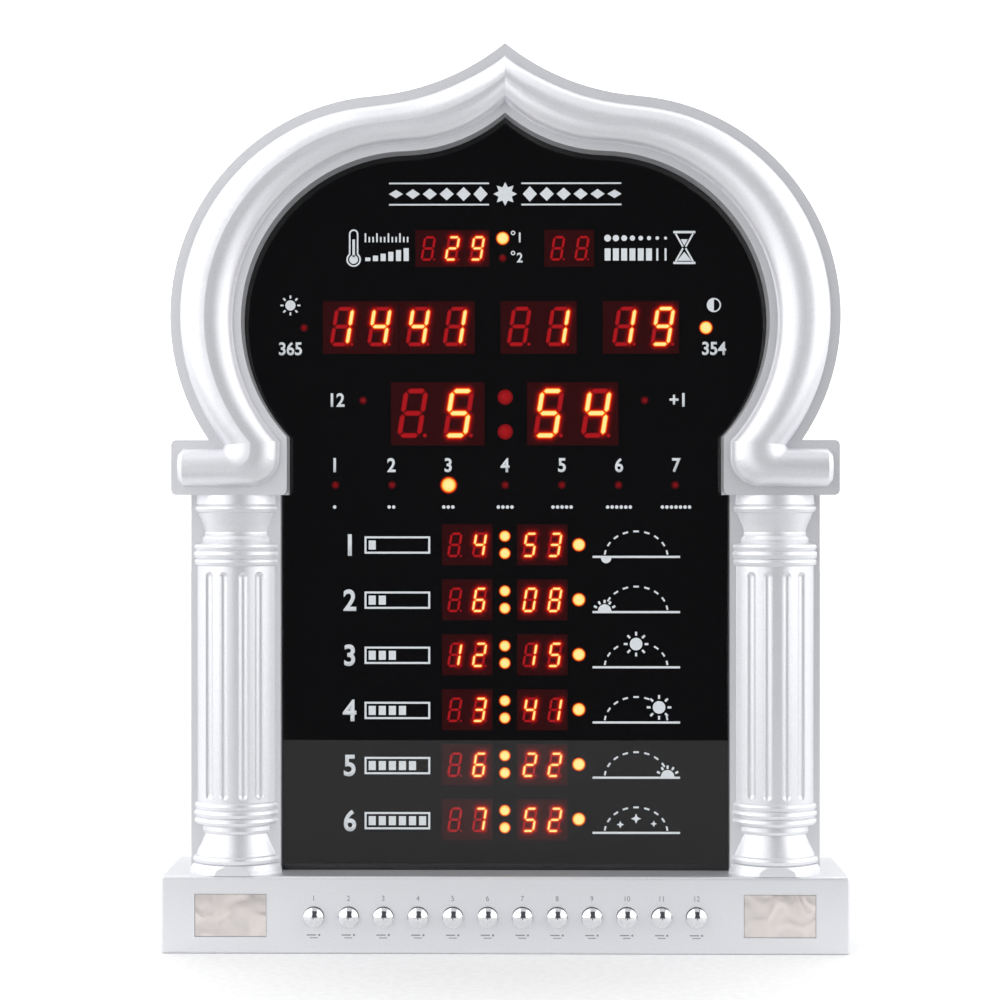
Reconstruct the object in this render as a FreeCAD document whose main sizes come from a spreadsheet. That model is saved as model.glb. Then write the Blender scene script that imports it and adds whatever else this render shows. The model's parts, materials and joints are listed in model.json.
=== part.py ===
import FreeCAD
import Part
import math
import os
import re

# Azan clock, in millimetres. +X is right, +Z is up and the front faces -Y.
# The origin is at the bottom centre of the whole clock. A depth is measured
# forward from the flat back, so that a larger depth is nearer to the viewer.

doc = FreeCAD.newDocument("azan_clock")
sheet = doc.addObject("Spreadsheet::Sheet", "sizes")

DRIVING = [
    ("base_width", 345.0, "long box at the bottom"),
    ("base_depth", 55.0, "depth of the flat base front"),
    ("base_height", 38.9, "top of the base"),
    ("shell_wall", 2.5, "wall of the moulded housings"),
    ("edge_round", 1.6, "rounding of the base edges"),
    ("plate_depth", 43.5, "front of the pilaster plates"),
    ("flange_depth", 51.5, "front of the arch flange"),
    ("crest_depth", 60.0, "crest of the half-round moulding"),
    ("foot_bottom", 229.6, "underside of the arch foot"),
    ("foot_top", 257.2, "ledge on the arch foot"),
    ("foot_round", 2.6, "corner rounding of the arch foot"),
    ("housing_inset", 1.5, "shell edge behind the arch edge"),
    ("frame_wall", 2.2, "wall of the arch frame"),
    ("inner_lobe_z", 317.0, "arch opening: lobe centre"),
    ("inner_lobe_radius", 85.0, "arch opening: lobe radius"),
    ("inner_apex", 421.2, "arch opening: height of the point"),
    ("inner_slope", 40.7, "arch opening: slope at the point, degrees"),
    ("outer_lobe_z", 319.5, "arch outline: lobe centre"),
    ("outer_lobe_radius", 110.4, "arch outline: lobe radius"),
    ("outer_apex", 456.0, "arch outline: height of the point"),
    ("outer_slope", 38.8, "arch outline: slope at the point, degrees"),
    ("inner_lip", 4.1, "flat lip between opening and moulding"),
    ("outer_lip", 5.1, "flat lip between moulding and outline"),
    ("arm_low", 4.2, "moulding arm above the underside of the foot"),
    ("arm_height", 19.2, "height of the moulding arm"),
    ("arm_end", 4.1, "moulding arm short of the foot's outer side"),
    ("elbow_round", 15.0, "outside radius of the moulding elbow"),
    ("elbow_pivot", 1.6, "inside radius of the moulding elbow"),
    ("window_thick", 3.0, "tinted window"),
    ("window_front", 37.5, "depth of the window's face"),
    ("window_lap", 5.0, "window beyond its opening"),
    ("window_gap", 0.3, "clearance round the window"),
    ("tape_thick", 0.5, "foam tape on the window"),
    ("rim_width", 2.2, "rim that presses on the tape"),
    ("cover_thick", 2.5, "rear cover"),
    ("cover_gap", 0.3, "clearance round the rear cover"),
    ("column_bulge", 10.0, "shaft in front of its plate"),
    ("shaft_half", 19.5, "half width of the shaft at its plate"),
    ("column_bore", 18.2, "radius of the hollow in a column"),
    ("flute_width", 5.0, "width of a flute"),
    ("flute_cutter", 3.0, "radius of the flute's round section"),
    ("flute_near", 4.75, "inner pair of flutes from the column centre"),
    ("flute_far", 12.6, "outer pair of flutes from the column centre"),
    ("button_count", 12.0, "push buttons"),
    ("button_height", 18.5, "height of the button row"),
    ("button_radius", 5.1, "radius of a chrome cap"),
    ("button_dome", 2.2, "rise of the domed cap"),
    ("button_out", 4.4, "cap in front of the base"),
    ("button_play", 0.25, "radial clearance of a cap"),
    ("button_flange", 1.3, "flange beyond the cap"),
    ("button_flange_thick", 1.6, "flange thickness"),
    ("button_travel", 1.0, "stroke of a button"),
    ("stem_radius", 1.7, "stem of a button"),
    ("stem_play", 0.2, "radial clearance of the stem"),
    ("stem_engage", 1.5, "stem inside the switch at rest"),
    ("button_gap", 5.5, "button flange in front of the switch"),
    ("button_board_tall", 20.0, "width of the button board"),
    ("switch_size", 8.0, "side of a push switch"),
    ("switch_thick", 4.5, "height of a push switch"),
    ("board_thick", 1.6, "circuit boards"),
    ("inlay_z", 19.3, "height of the inlay centre"),
    ("inlay_width", 35.5, "inlay plate"),
    ("inlay_height", 21.0, "inlay plate"),
    ("inlay_thick", 1.0, "inlay plate"),
    ("inlay_sink", 0.2, "inlay face below the base front"),
    ("inlay_gap", 0.3, "clearance round an inlay"),
    ("module_front", 33.0, "depth of the LED module faces"),
    ("module_thick", 8.0, "LED module height on the board"),
    ("board_lap", 12.0, "display board beyond the opening"),
    ("board_bottom", 50.0, "lower edge of the display board"),
    ("post_radius", 3.5, "posts that hold boards"),
    ("boss_radius", 4.0, "bosses that hold the rear cover"),
    ("cover_edge", 4.5, "cover screws inside the wall"),
    ("screw_edge", 7.0, "inlay end to the outer base cover screws"),
    ("frame_screw_end", 12.0, "lowest frame screws from the moulding's end"),
    ("joint_depth", 28.0, "depth of the base joint screws"),
    ("joint_nut", 2.0, "nut of a base joint screw"),
    ("pilot_radius", 1.2, "pilot hole of every screw"),
    ("pilot_deep", 12.0, "pilot holes of the cover screws, from the back"),
    ("wire_slot_half", 20.0, "wire slot between shell and base"),
    ("wire_slot_back", 10.0, "wire slot, its rear side"),
    ("wire_slot_front", 20.0, "wire slot, its front side"),
    ("screw_play", 0.2, "clearance of a screw in its hole"),
    ("head_radius", 2.8, "screw head"),
    ("head_thick", 1.4, "screw head"),
    ("speaker_x", 0.0, "speaker centre"),
    ("speaker_z", 182.0, "speaker centre"),
    ("speaker_radius", 33.0, "speaker rim"),
    ("speaker_deep", 13.0, "speaker basket"),
    ("speaker_lift", 4.0, "speaker off the rear cover"),
    ("grille_hole", 1.8, "hole of the speaker grille"),
    ("grille_pitch", 7.0, "spacing of the rings of grille holes"),
    ("magnet_radius", 16.0, "speaker magnet"),
    ("magnet_thick", 3.2, "speaker magnet"),
    ("keyhole_x", 80.0, "keyhole from the centre line"),
    ("keyhole_z", 345.0, "entry hole of a keyhole"),
    ("keyhole_radius", 4.5, "entry hole of a keyhole"),
    ("keyhole_slot", 2.3, "half width of the keyhole slot"),
    ("keyhole_rise", 9.0, "slot end above the entry hole"),
    ("jack_x", 92.0, "power inlet"),
    ("jack_z", 62.0, "power inlet"),
    ("jack_neck", 4.0, "neck of the power inlet"),
    ("jack_body", 5.5, "body of the power inlet"),
    ("jack_deep", 14.0, "length of the power inlet"),
    ("jack_bore", 2.85, "socket of the power inlet"),
    ("jack_pin", 1.0, "centre pin of the power inlet"),
    ("control_width", 96.0, "control board"),
    ("control_height", 62.0, "control board"),
    ("control_z", 98.0, "centre of the control board"),
    ("control_stand", 6.0, "control board off the rear cover"),
    ("cell_x", 31.0, "centre of the coin cell"),
    ("cell_radius", 10.0, "coin cell"),
    ("cell_thick", 3.2, "coin cell"),
    ("holder_wall", 1.6, "cell holder round the cell"),
    ("chip_thick", 1.8, "height of a chip"),
    ("chip_pitch", 44.0, "spacing of the driver chips"),
    ("row_pitch", 28.04, "spacing of the schedule rows"),
    ("day_pitch", 28.9, "spacing of the weekday lamps"),
    ("row_lamp_x", 37.6, "lamp at the end of a schedule row"),
    ("colon_half", 4.4, "half spacing of a row colon"),
    ("small_led", 1.9, "radius of a row colon lamp"),
    ("large_led", 4.2, "radius of an hour colon lamp"),
    ("indicator_led", 2.3, "radius of an indicator lamp"),
    ("ribbon_half", 12.0, "half width of the ribbon cable"),
    ("ribbon_depth", 17.4, "depth of the ribbon cable's run"),
    ("ribbon_thick", 1.0, "ribbon cable"),
    ("vent_x", 62.0, "middle of a vent group"),
    ("vent_z", 246.0, "lowest vent"),
    ("vent_pitch", 6.0, "spacing of the vents"),
    ("vent_long", 28.0, "length of a vent"),
    ("vent_wide", 2.4, "width of a vent"),
]

# These follow from the driving sizes, so that the arch, the columns and all
# that is fixed to them move when the base is made wider or taller.
DERIVED = [
    ("pilaster_inner", "base_width / 2 - 59", "half width of the window between the pilasters"),
    ("pilaster_outer", "base_width / 2 - 13.7", "outer edge of a pilaster plate"),
    ("foot_inner", "base_width / 2 - 63", "window side of the arch foot"),
    ("foot_outer", "base_width / 2 - 4.9", "outer side of the arch foot"),
    ("inner_lobe_x", "base_width / 2 - 125", "arch opening: lobe centre"),
    ("outer_lobe_x", "base_width / 2 - 114.9", "arch outline: lobe centre"),
    ("column_x", "base_width / 2 - 36.4", "centre line of a column"),
    ("flute_top", "foot_bottom - 38", "upper end of the flutes"),
    ("flute_bottom", "base_height + 36.9", "lower end of the flutes"),
    ("button_pitch", "(base_width - 153.71) / (button_count - 1)", "spacing of the buttons"),
    ("button_board_half", "base_width / 2 - 62.5", "half length of the button board"),
    ("inlay_x", "base_width / 2 - 35.2", "centre of an inlay plate"),
    ("base_screw_x", "base_width / 2 - 56.5", "inner pair of base cover screws"),
    ("joint_far", "base_width / 2 - 32.5", "outer pair of base joint screws"),
    ("joint_near", "base_width / 2 - 112.5", "inner pair of base joint screws"),
    ("cover_screw_low", "base_height + 27.1", "lowest cover screws beside the window"),
    ("board_screw_low", "board_bottom + 12", "lowest display board screws"),
    ("side_screw_high", "foot_bottom - 15.6", "highest screws beside the window"),
    ("column_screw_low", "base_height + 13.1", "lower screw of a column"),
    ("column_screw_high", "foot_bottom - 13.6", "upper screw of a column"),
    ("row_top", "foot_bottom - 25.4", "highest schedule row"),
    ("day_row", "foot_bottom + 5.1", "row of weekday lamps"),
    ("hour_row", "foot_bottom + 41.4", "row of the time"),
    ("date_row", "foot_bottom + 85.4", "row of the date"),
    ("upper_row", "foot_bottom + 125.7", "row of the temperature"),
    ("chip_low", "board_bottom + 42", "lowest driver chips"),
]

for row, (alias, value, note) in enumerate(DRIVING + DERIVED, start=1):
    sheet.set("A%d" % row, note)
    sheet.set("B%d" % row, "=" + value if isinstance(value, str) else "%g" % value)
    sheet.setAlias("B%d" % row, alias)
doc.recompute()

ALIASES = {alias for alias, value, note in DRIVING + DERIVED}
NODES = {}


def size(alias):
    """A driving dimension, as the sheet holds it."""
    return float(sheet.get(alias))


def bind(thing, prop, formula):
    """Ties a property to a formula in the sheet's aliases."""
    def named(word):
        return "sizes." + word.group(0) if word.group(0) in ALIASES else word.group(0)
    thing.setExpression(prop, re.sub(r"[A-Za-z_]\w*", named, formula))


def node(name, thing):
    """Gives a sub-part its name."""
    thing.Label = name
    NODES[name] = thing
    return thing


def forward(depth):
    """The Y of a depth measured from the back."""
    return size("crest_depth") / 2 - depth


def block(name, x, d, z):
    """A box between two X, two depths and two heights, all formulas."""
    box = doc.addObject("Part::Box", name)
    bind(box, "Length", "(%s) - (%s)" % (x[1], x[0]))
    bind(box, "Width", "(%s) - (%s)" % (d[1], d[0]))
    bind(box, "Height", "(%s) - (%s)" % (z[1], z[0]))
    bind(box, "Placement.Base.x", x[0])
    bind(box, "Placement.Base.y", "crest_depth / 2 - (%s)" % d[1])
    bind(box, "Placement.Base.z", z[0])
    return box


def rod(name, radius, x, z, d):
    """A cylinder that points at the viewer, between two depths."""
    part = doc.addObject("Part::Cylinder", name)
    part.Placement.Rotation = FreeCAD.Rotation(FreeCAD.Vector(1, 0, 0), 90)
    bind(part, "Radius", radius)
    bind(part, "Height", "(%s) - (%s)" % (d[1], d[0]))
    bind(part, "Placement.Base.x", x)
    bind(part, "Placement.Base.y", "crest_depth / 2 - (%s)" % d[0])
    bind(part, "Placement.Base.z", z)
    return part


def fused(name, things):
    """One object made of several that touch."""
    if len(things) == 1:
        return things[0]
    part = doc.addObject("Part::MultiFuse", name)
    part.Shapes = things
    part.Refine = True
    return part


def loose(name, things):
    """Several solids kept apart in one node."""
    part = doc.addObject("Part::Compound", name)
    part.Links = things
    return part


def cut(name, base, tools):
    """The base less its tools."""
    part = doc.addObject("Part::Cut", name)
    part.Base = base
    part.Tool = fused(name + "_tools", tools)
    part.Refine = True
    return part


# Outlines are lists of edges in the front view. An edge is two (x, z) points
# for a line and three for an arc.

def mirrored(edges):
    """The left half of an outline from its right half."""
    return [[(-x, z) for x, z in reversed(edge)] for edge in reversed(edges)]


def ogee(side, offset):
    """The right half of a pointed arch, as its circles and joints."""
    cx = size(side + "_lobe_x")
    cz = size(side + "_lobe_z")
    radius = size(side + "_lobe_radius")
    apex = size(side + "_apex")
    slope = math.radians(size(side + "_slope"))
    reach = (-cx, apex - cz)
    normal = (math.sin(slope), math.cos(slope))
    along = normal[0] * reach[0] + normal[1] * reach[1]
    flare = (reach[0] ** 2 + reach[1] ** 2 - radius ** 2) / (2 * (radius - along))
    fx = flare * normal[0]
    fz = apex + flare * normal[1]
    radius = radius + offset
    flare = flare - offset
    share = radius / (radius + flare)
    joint = (cx + (fx - cx) * share, cz + (fz - cz) * share)
    top = (0.0, fz - math.sqrt(flare ** 2 - fx ** 2))
    return {"lobe": (cx, cz, radius), "flare": (fx, fz, flare), "joint": joint, "top": top}


def on_circle(circle, angle):
    """A point of a circle at an angle."""
    return (circle[0] + circle[2] * math.cos(angle), circle[1] + circle[2] * math.sin(angle))


def angle_of(circle, point):
    """The angle of a point of a circle."""
    return math.atan2(point[1] - circle[1], point[0] - circle[0])


def turned(circle, start, end, share):
    """A point of a circle part of the way from one angle to another."""
    first = angle_of(circle, start)
    last = angle_of(circle, end)
    return on_circle(circle, first + (last - first) * share)


def lobe_at_height(curve, z):
    """Where the lobe's lower right crosses a height."""
    cx, cz, radius = curve["lobe"]
    return (cx + math.sqrt(radius ** 2 - (z - cz) ** 2), z)


def lobe_at_width(curve, x):
    """Where the lobe's lower right crosses an X."""
    cx, cz, radius = curve["lobe"]
    return (x, cz - math.sqrt(radius ** 2 - (x - cx) ** 2))


def climb(curve, start):
    """The edges from a point low on the lobe up to the arch's point."""
    lobe_mid = turned(curve["lobe"], start, curve["joint"], 0.5)
    flare_mid = turned(curve["flare"], curve["joint"], curve["top"], 0.5)
    return [[start, lobe_mid, curve["joint"]], [curve["joint"], flare_mid, curve["top"]]]


def chain(points):
    """Lines through points."""
    return [[a, b] for a, b in zip(points, points[1:])]


def rounded_chain(points, radius):
    """Lines through points with their inner corners rounded."""
    edges = []
    here = points[0]
    for before, corner, after in zip(points, points[1:], points[2:]):
        into = unit(before, corner)
        out = unit(corner, after)
        start = (corner[0] - into[0] * radius, corner[1] - into[1] * radius)
        end = (corner[0] + out[0] * radius, corner[1] + out[1] * radius)
        centre = (start[0] + end[0] - corner[0], start[1] + end[1] - corner[1])
        pull = unit(centre, corner)
        middle = (centre[0] + pull[0] * radius, centre[1] + pull[1] * radius)
        edges.append([here, start])
        edges.append([start, middle, end])
        here = end
    edges.append([here, points[-1]])
    return edges


def unit(start, end):
    """The direction between two points."""
    length = math.hypot(end[0] - start[0], end[1] - start[1])
    return ((end[0] - start[0]) / length, (end[1] - start[1]) / length)


def opening_outline(grow, bottom):
    """The window opening, or what laps round it by a width."""
    curve = ogee("inner", grow)
    side = size("pilaster_inner") + grow
    if grow > 0:
        rise = chain([(0, bottom), (side, bottom), lobe_at_width(curve, side)])
    else:
        foot = size("foot_inner")
        turn = size("foot_bottom")
        corner = lobe_at_width(curve, foot)
        rise = chain([(0, bottom), (side, bottom), (side, turn), (foot, turn), corner])
    right = rise + climb(curve, rise[-1][-1])
    return right + mirrored(right)


def housing_outline(inset, bottom):
    """The edge of the shell behind the arch, or a line inside it."""
    curve = ogee("outer", -size("housing_inset") - inset)
    post = size("pilaster_outer") - inset
    wide = size("foot_outer") - size("housing_inset") - inset
    low = size("foot_bottom") + size("housing_inset") + inset
    high = size("foot_top") - size("housing_inset") - inset
    start = lobe_at_height(curve, high)
    rise = chain([(0, bottom), (post, bottom), (post, low), (wide, low), (wide, high), start])
    right = rise + climb(curve, start)
    return right + mirrored(right)


def arch_outline(inset):
    """The flat flange of the arch frame, or the hollow inside its rim."""
    opening = ogee("inner", inset)
    outside = ogee("outer", -inset)
    inner = size("foot_inner") + inset
    outer = size("foot_outer") - inset
    low = size("foot_bottom") + inset
    high = size("foot_top") - inset
    rounding = size("foot_round") if inset == 0 else size("foot_round") - inset * 0.5
    spring = lobe_at_width(opening, inner)
    ledge = lobe_at_height(outside, high)
    down = [list(reversed(edge)) for edge in reversed(climb(opening, spring))]
    foot = rounded_chain([spring, (inner, low), (outer, low), (outer, high), ledge], rounding)
    right = down + foot + climb(outside, ledge)
    return right + mirrored(right)


def cover_outline():
    """The rear cover, inside the walls of the shell and of the base."""
    inset = size("shell_wall") + size("cover_gap")
    wide = size("base_width") / 2 - inset
    shelf = size("base_height") - inset
    upper = housing_outline(inset, shelf)
    right = chain([(0, inset), (wide, inset), (wide, shelf), upper[0][1]])
    half = len(upper) // 2
    right = right + upper[1:half]
    return right + mirrored(right)


def origin_plane(body, role):
    """One of a body's own origin planes."""
    return [item for item in body.Origin.OriginFeatures if item.Role == role][0]


def sketch_on(body, role, name, edges):
    """A sketch of an outline on one of the body's planes."""
    sketch = body.newObject("Sketcher::SketchObject", name)
    sketch.AttachmentSupport = [(origin_plane(body, role), "")]
    sketch.MapMode = "FlatFace"
    curves = []
    for edge in edges:
        points = [FreeCAD.Vector(x, z, 0) for x, z in edge]
        curves.append(Part.LineSegment(*points) if len(points) == 2 else Part.Arc(*points))
    sketch.addGeometry(curves, False)
    return sketch


def slab(name, edges, low, high):
    """A body with one outline padded between two depths."""
    body = doc.addObject("PartDesign::Body", name)
    sketch = sketch_on(body, "XZ_Plane", name + "_outline", edges)
    bind(sketch, "AttachmentOffset.Base.z", "(%s) - crest_depth / 2" % low)
    pad = body.newObject("PartDesign::Pad", name + "_pad")
    pad.Profile = sketch
    bind(pad, "Length", "(%s) - (%s)" % (high, low))
    doc.recompute()
    return body


def turned_body(name, edges):
    """A body turned about the Y axis from a profile of (y, radius) points."""
    body = doc.addObject("PartDesign::Body", name)
    sketch = sketch_on(body, "YZ_Plane", name + "_profile", edges)
    revolution = body.newObject("PartDesign::Revolution", name + "_turn")
    revolution.Profile = sketch
    revolution.ReferenceAxis = (sketch, ["H_Axis"])
    revolution.Angle = 360
    doc.recompute()
    return body


def three_up(x, low):
    """Three screws in a column beside the window."""
    high = size("side_screw_high")
    return [(x, low), (x, (low + high) / 2), (x, high)]


def screw_places():
    """Where each kind of screw stands, as (x, z) pairs."""
    inner = ogee("inner", 0)["lobe"]
    outer = ogee("outer", 0)["lobe"]
    board_line = size("window_lap") + size("post_radius")
    board_side = size("pilaster_inner") + board_line
    board_ring = (inner[0], inner[1], inner[2] + board_line)
    cover_in = size("shell_wall") + size("cover_edge")
    cover_side = size("pilaster_outer") - cover_in
    cover_ring = (outer[0], outer[1], outer[2] - size("housing_inset") - cover_in)
    frame_ring = ((inner[0] + outer[0]) / 2, outer[1], (inner[2] + outer[2]) / 2)
    high_board = [on_circle(board_ring, math.radians(a)) for a in (4, 62)]
    high_cover = [on_circle(cover_ring, math.radians(a)) for a in (8, 50)]
    high_frame = [on_circle(frame_ring, math.radians(a)) for a in (-20, 28, 72)]
    display = three_up(board_side, size("board_screw_low")) + high_board
    cover = three_up(cover_side, size("cover_screw_low")) + high_cover
    outer_x = size("inlay_x") + size("inlay_width") / 2 + size("screw_edge")
    base_row = [(outer_x, size("inlay_z")), (size("base_screw_x"), size("inlay_z"))]
    arm_mid = size("foot_bottom") + size("arm_low") + size("arm_height") / 2
    frame = [(size("foot_outer") - size("arm_end") - size("frame_screw_end"), arm_mid)] + high_frame
    return {
        "display": display + [(-x, z) for x, z in display],
        "cover": cover + [(-x, z) for x, z in cover],
        "base": base_row + [(-x, z) for x, z in base_row],
        "frame": frame + [(-x, z) for x, z in frame],
    }


PLACES = screw_places()


def rods_at(name, places, radius, d):
    """Equal rods at several places."""
    rods = []
    for index, (x, z) in enumerate(places):
        rods.append(rod("%s_%d" % (name, index), radius, "%.4f" % x, "%.4f" % z, d))
    return rods


def screws_at(name, places, seat, tip):
    """Screws whose heads lie on a depth and whose shanks reach another."""
    screws = []
    for index, (x, z) in enumerate(places):
        here = ("%.4f" % x, "%.4f" % z)
        shank = rod("%s_shank_%d" % (name, index), "pilot_radius", here[0], here[1], (seat, tip))
        head_span = ("(%s) - head_thick" % seat, seat)
        head = rod("%s_head_%d" % (name, index), "head_radius", here[0], here[1], head_span)
        screws.append(fused("%s_%d" % (name, index), [shank, head]))
    return loose(name, screws)


# The arch frame: a flat flange with one half-round moulding that turns
# outward at each foot. The moulding is lofted through half ellipses that
# stand on the flange, so that it narrows towards the point.

def moulding_stations(end_wall):
    """Pairs of inner and outer edge points: the arch, the elbow and the arm, short by an end wall."""
    inner = ogee("inner", size("inner_lip"))
    outer = ogee("outer", -size("outer_lip"))
    inner_side = size("foot_inner") + size("inner_lip") - 0.6
    arm_bottom = size("foot_bottom") + size("arm_low")
    arm_top = arm_bottom + size("arm_height")
    bend = size("elbow_round")
    pivot = size("elbow_pivot")
    arm_tip = size("foot_outer") - size("arm_end") - end_wall
    spring = lobe_at_width(inner, inner_side)
    crook = lobe_at_height(outer, arm_top + pivot)
    hinge = (crook[0] + pivot, arm_top + pivot)
    arch = []
    for index in range(4):
        a = turned(inner["flare"], inner["top"], inner["joint"], index / 4)
        b = turned(outer["flare"], outer["top"], outer["joint"], index / 4)
        arch.append((a, b))
    for index in range(11):
        a = turned(inner["lobe"], inner["joint"], spring, index / 10)
        b = turned(outer["lobe"], outer["joint"], crook, index / 10)
        arch.append((a, b))
    bend_centre = (inner_side + bend, arm_bottom + bend, bend)
    turn = [arch[-1]]
    for index in range(10):
        far = on_circle(bend_centre, math.radians(180 + 10 * index))
        near = on_circle((hinge[0], hinge[1], pivot), math.radians(190 + 7 * index))
        turn.append((far, near))
    turn.append(((arm_tip - 2.5, arm_bottom), (arm_tip - 2.5, arm_top)))
    turn.append(((arm_tip, arm_bottom + 2.5), (arm_tip, arm_top - 2.5)))
    return arch, turn


def moulding_section(a, b, rise, skirt):
    """A half ellipse on the flange between two points, with a skirt below."""
    level = size("flange_depth")

    def at(point, depth):
        return FreeCAD.Vector(point[0], forward(depth), point[1])
    middle = at(((a[0] + b[0]) / 2, (a[1] + b[1]) / 2), level)
    crest = middle + FreeCAD.Vector(0, -rise, 0)
    end_a = at(a, level)
    end_b = at(b, level)
    low_a = at(a, level - skirt)
    low_b = at(b, level - skirt)
    return Part.Wire([
        Part.makeLine(low_a, low_b),
        Part.makeLine(low_b, end_b),
        quarter_ellipse(middle, end_b, crest),
        quarter_ellipse(middle, crest, end_a),
        Part.makeLine(end_a, low_a),
    ])


def quarter_ellipse(middle, start, end):
    """A quarter ellipse as a curve with four poles."""
    pull = 0.5523
    curve = Part.BezierCurve()
    curve.setPoles([start, start + (end - middle) * pull, end + (start - middle) * pull, end])
    return curve.toShape()


def moulding_solid(shrink, rise, skirt):
    """The whole moulding, or the hollow inside it, from two mirrored halves."""
    sides = []
    for smooth, pairs in zip((True, False), moulding_stations(shrink)):
        wires = []
        for a, b in pairs:
            along = unit(a, b)
            near = (a[0] + along[0] * shrink, a[1] + along[1] * shrink)
            far = (b[0] - along[0] * shrink, b[1] - along[1] * shrink)
            height = rise * 0.7 if (a, b) == pairs[-1] and not smooth else rise
            wires.append(moulding_section(near, far, height, skirt))
        sides += Part.makeLoft(wires, False, not smooth).Faces
    sides.append(Part.Face(wires[-1]))
    origin = FreeCAD.Vector(0, 0, 0)
    across = FreeCAD.Vector(1, 0, 0)
    sides += [face.mirror(origin, across) for face in sides]
    shell = Part.makeShell(sides)
    shell.sewShape()
    return Part.makeSolid(Part.Shell(shell.Faces))


def make_arch_frame():
    """The arch frame, hollow behind, with posts for its screws."""
    rise = size("crest_depth") - size("flange_depth")
    wall = size("frame_wall")
    outside = doc.addObject("Part::Feature", "moulding_outside")
    outside.Shape = moulding_solid(0.0, rise, wall * 0.5)
    inside = doc.addObject("Part::Feature", "moulding_inside")
    inside.Shape = moulding_solid(wall, rise - wall, wall + 0.5)
    flange = slab("arch_flange", arch_outline(0.0), "plate_depth", "flange_depth")
    hollow = slab("arch_hollow", arch_outline(wall), "plate_depth - 1", "flange_depth - frame_wall")
    shell = cut("arch_shell", fused("arch_solid", [flange, outside]), [hollow, inside])
    posts = rods_at("arch_post", PLACES["frame"], "post_radius", ("plate_depth", "crest_depth - 1.6"))
    pilots = rods_at("arch_pilot", PLACES["frame"], "pilot_radius", ("plate_depth - 1", "flange_depth + 3"))
    node("arch_frame", cut("arch_drilled", fused("arch_posted", [shell] + posts), pilots))
    seat = "plate_depth - shell_wall"
    node("arch_frame_screws", screws_at("arch_screws", PLACES["frame"], seat, "flange_depth + 2"))


def make_front_housing():
    """The shell behind the arch, with the pilaster plates and window rim."""
    bottom = size("base_height")
    outside = slab("shell_outside", housing_outline(0.0, bottom), "0", "plate_depth")
    wall = size("shell_wall")
    inside = slab("shell_inside", housing_outline(wall, bottom + wall), "-1", "plate_depth - shell_wall")
    rim_low = "window_front + tape_thick"
    rim = slab("window_rim", opening_outline(size("rim_width"), bottom), rim_low, "plate_depth - shell_wall")
    bosses = rods_at("cover_boss", PLACES["cover"], "boss_radius", ("cover_thick", "plate_depth - 1"))
    board_front = "module_front - module_thick"
    posts = rods_at("board_post", PLACES["display"], "post_radius", (board_front, "plate_depth - 1"))
    opening = slab("window_opening", opening_outline(0.0, bottom - 1), "window_front - 1", "plate_depth + 1")
    half = "pilaster_inner + window_lap + window_gap"
    low = "window_front - window_thick - window_gap"
    pocket = block("window_seat", ("-(%s)" % half, half), (low, "window_front + tape_thick"),
                   ("base_height - 1", "base_height + shell_wall"))
    cover_side = "pilaster_outer - shell_wall"
    lip = block("cover_notch", ("-(%s)" % cover_side, cover_side), ("-1", "cover_thick + cover_gap"),
                ("base_height - 1", "base_height + shell_wall + 1"))
    wires = block("shell_wire_slot", ("-wire_slot_half", "wire_slot_half"), ("wire_slot_back", "wire_slot_front"),
                  ("base_height - 1", "base_height + shell_wall + 1"))
    pilots = rods_at("cover_pilot", PLACES["cover"], "pilot_radius",
                     ("cover_thick - 1", "cover_thick + pilot_deep"))
    pilots += rods_at("board_pilot", PLACES["display"], "pilot_radius",
                      (board_front + " - 1", board_front + " + 9"))
    frame_seat = ("plate_depth - shell_wall - 1", "plate_depth + 1")
    clear = "pilot_radius + screw_play"
    pilots += rods_at("frame_hole", PLACES["frame"], clear, frame_seat)
    pilots += rods_at("column_hole", COLUMN_SCREWS, clear, frame_seat)
    joints = vertical_rods("joint_hole", clear, ("base_height - 1", "base_height + shell_wall + 1"))
    hollow = cut("shell_hollow", outside, [inside])
    solid = fused("shell_solid", [hollow, rim] + bosses + posts)
    node("front_housing", cut("shell_cut", solid, [opening, pocket, lip, wires] + pilots + joints))


COLUMN_SCREWS = [(side * size("column_x"), size("column_screw_" + end))
                 for side in (-1, 1) for end in ("low", "high")]
JOINT_PLACES = ["-joint_far", "-joint_near", "joint_near", "joint_far"]


def vertical_rods(name, radius, z):
    """Upright rods where the shell is screwed to the base."""
    rods = []
    for index, x in enumerate(JOINT_PLACES):
        part = doc.addObject("Part::Cylinder", "%s_%d" % (name, index))
        bind(part, "Radius", radius)
        bind(part, "Height", "(%s) - (%s)" % (z[1], z[0]))
        bind(part, "Placement.Base.x", x)
        bind(part, "Placement.Base.y", "crest_depth / 2 - joint_depth")
        bind(part, "Placement.Base.z", z[0])
        rods.append(part)
    return rods


def make_window():
    """The tinted window and the tape that seals it."""
    lap = size("window_lap")
    bottom = size("base_height")
    low = "window_front - window_thick"
    node("front_window", slab("window", opening_outline(lap, bottom), low, "window_front"))
    front = "window_front + tape_thick"
    outer = slab("tape_outside", opening_outline(size("rim_width"), bottom), "window_front", front)
    inner = slab("tape_inside", opening_outline(0.0, bottom - 1), "window_front - 1", front + " + 1")
    node("window_tape", cut("tape", outer, [inner]))


# The turning of a column: half widths at heights above the base, and at
# heights below the underside of the arch foot.

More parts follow.
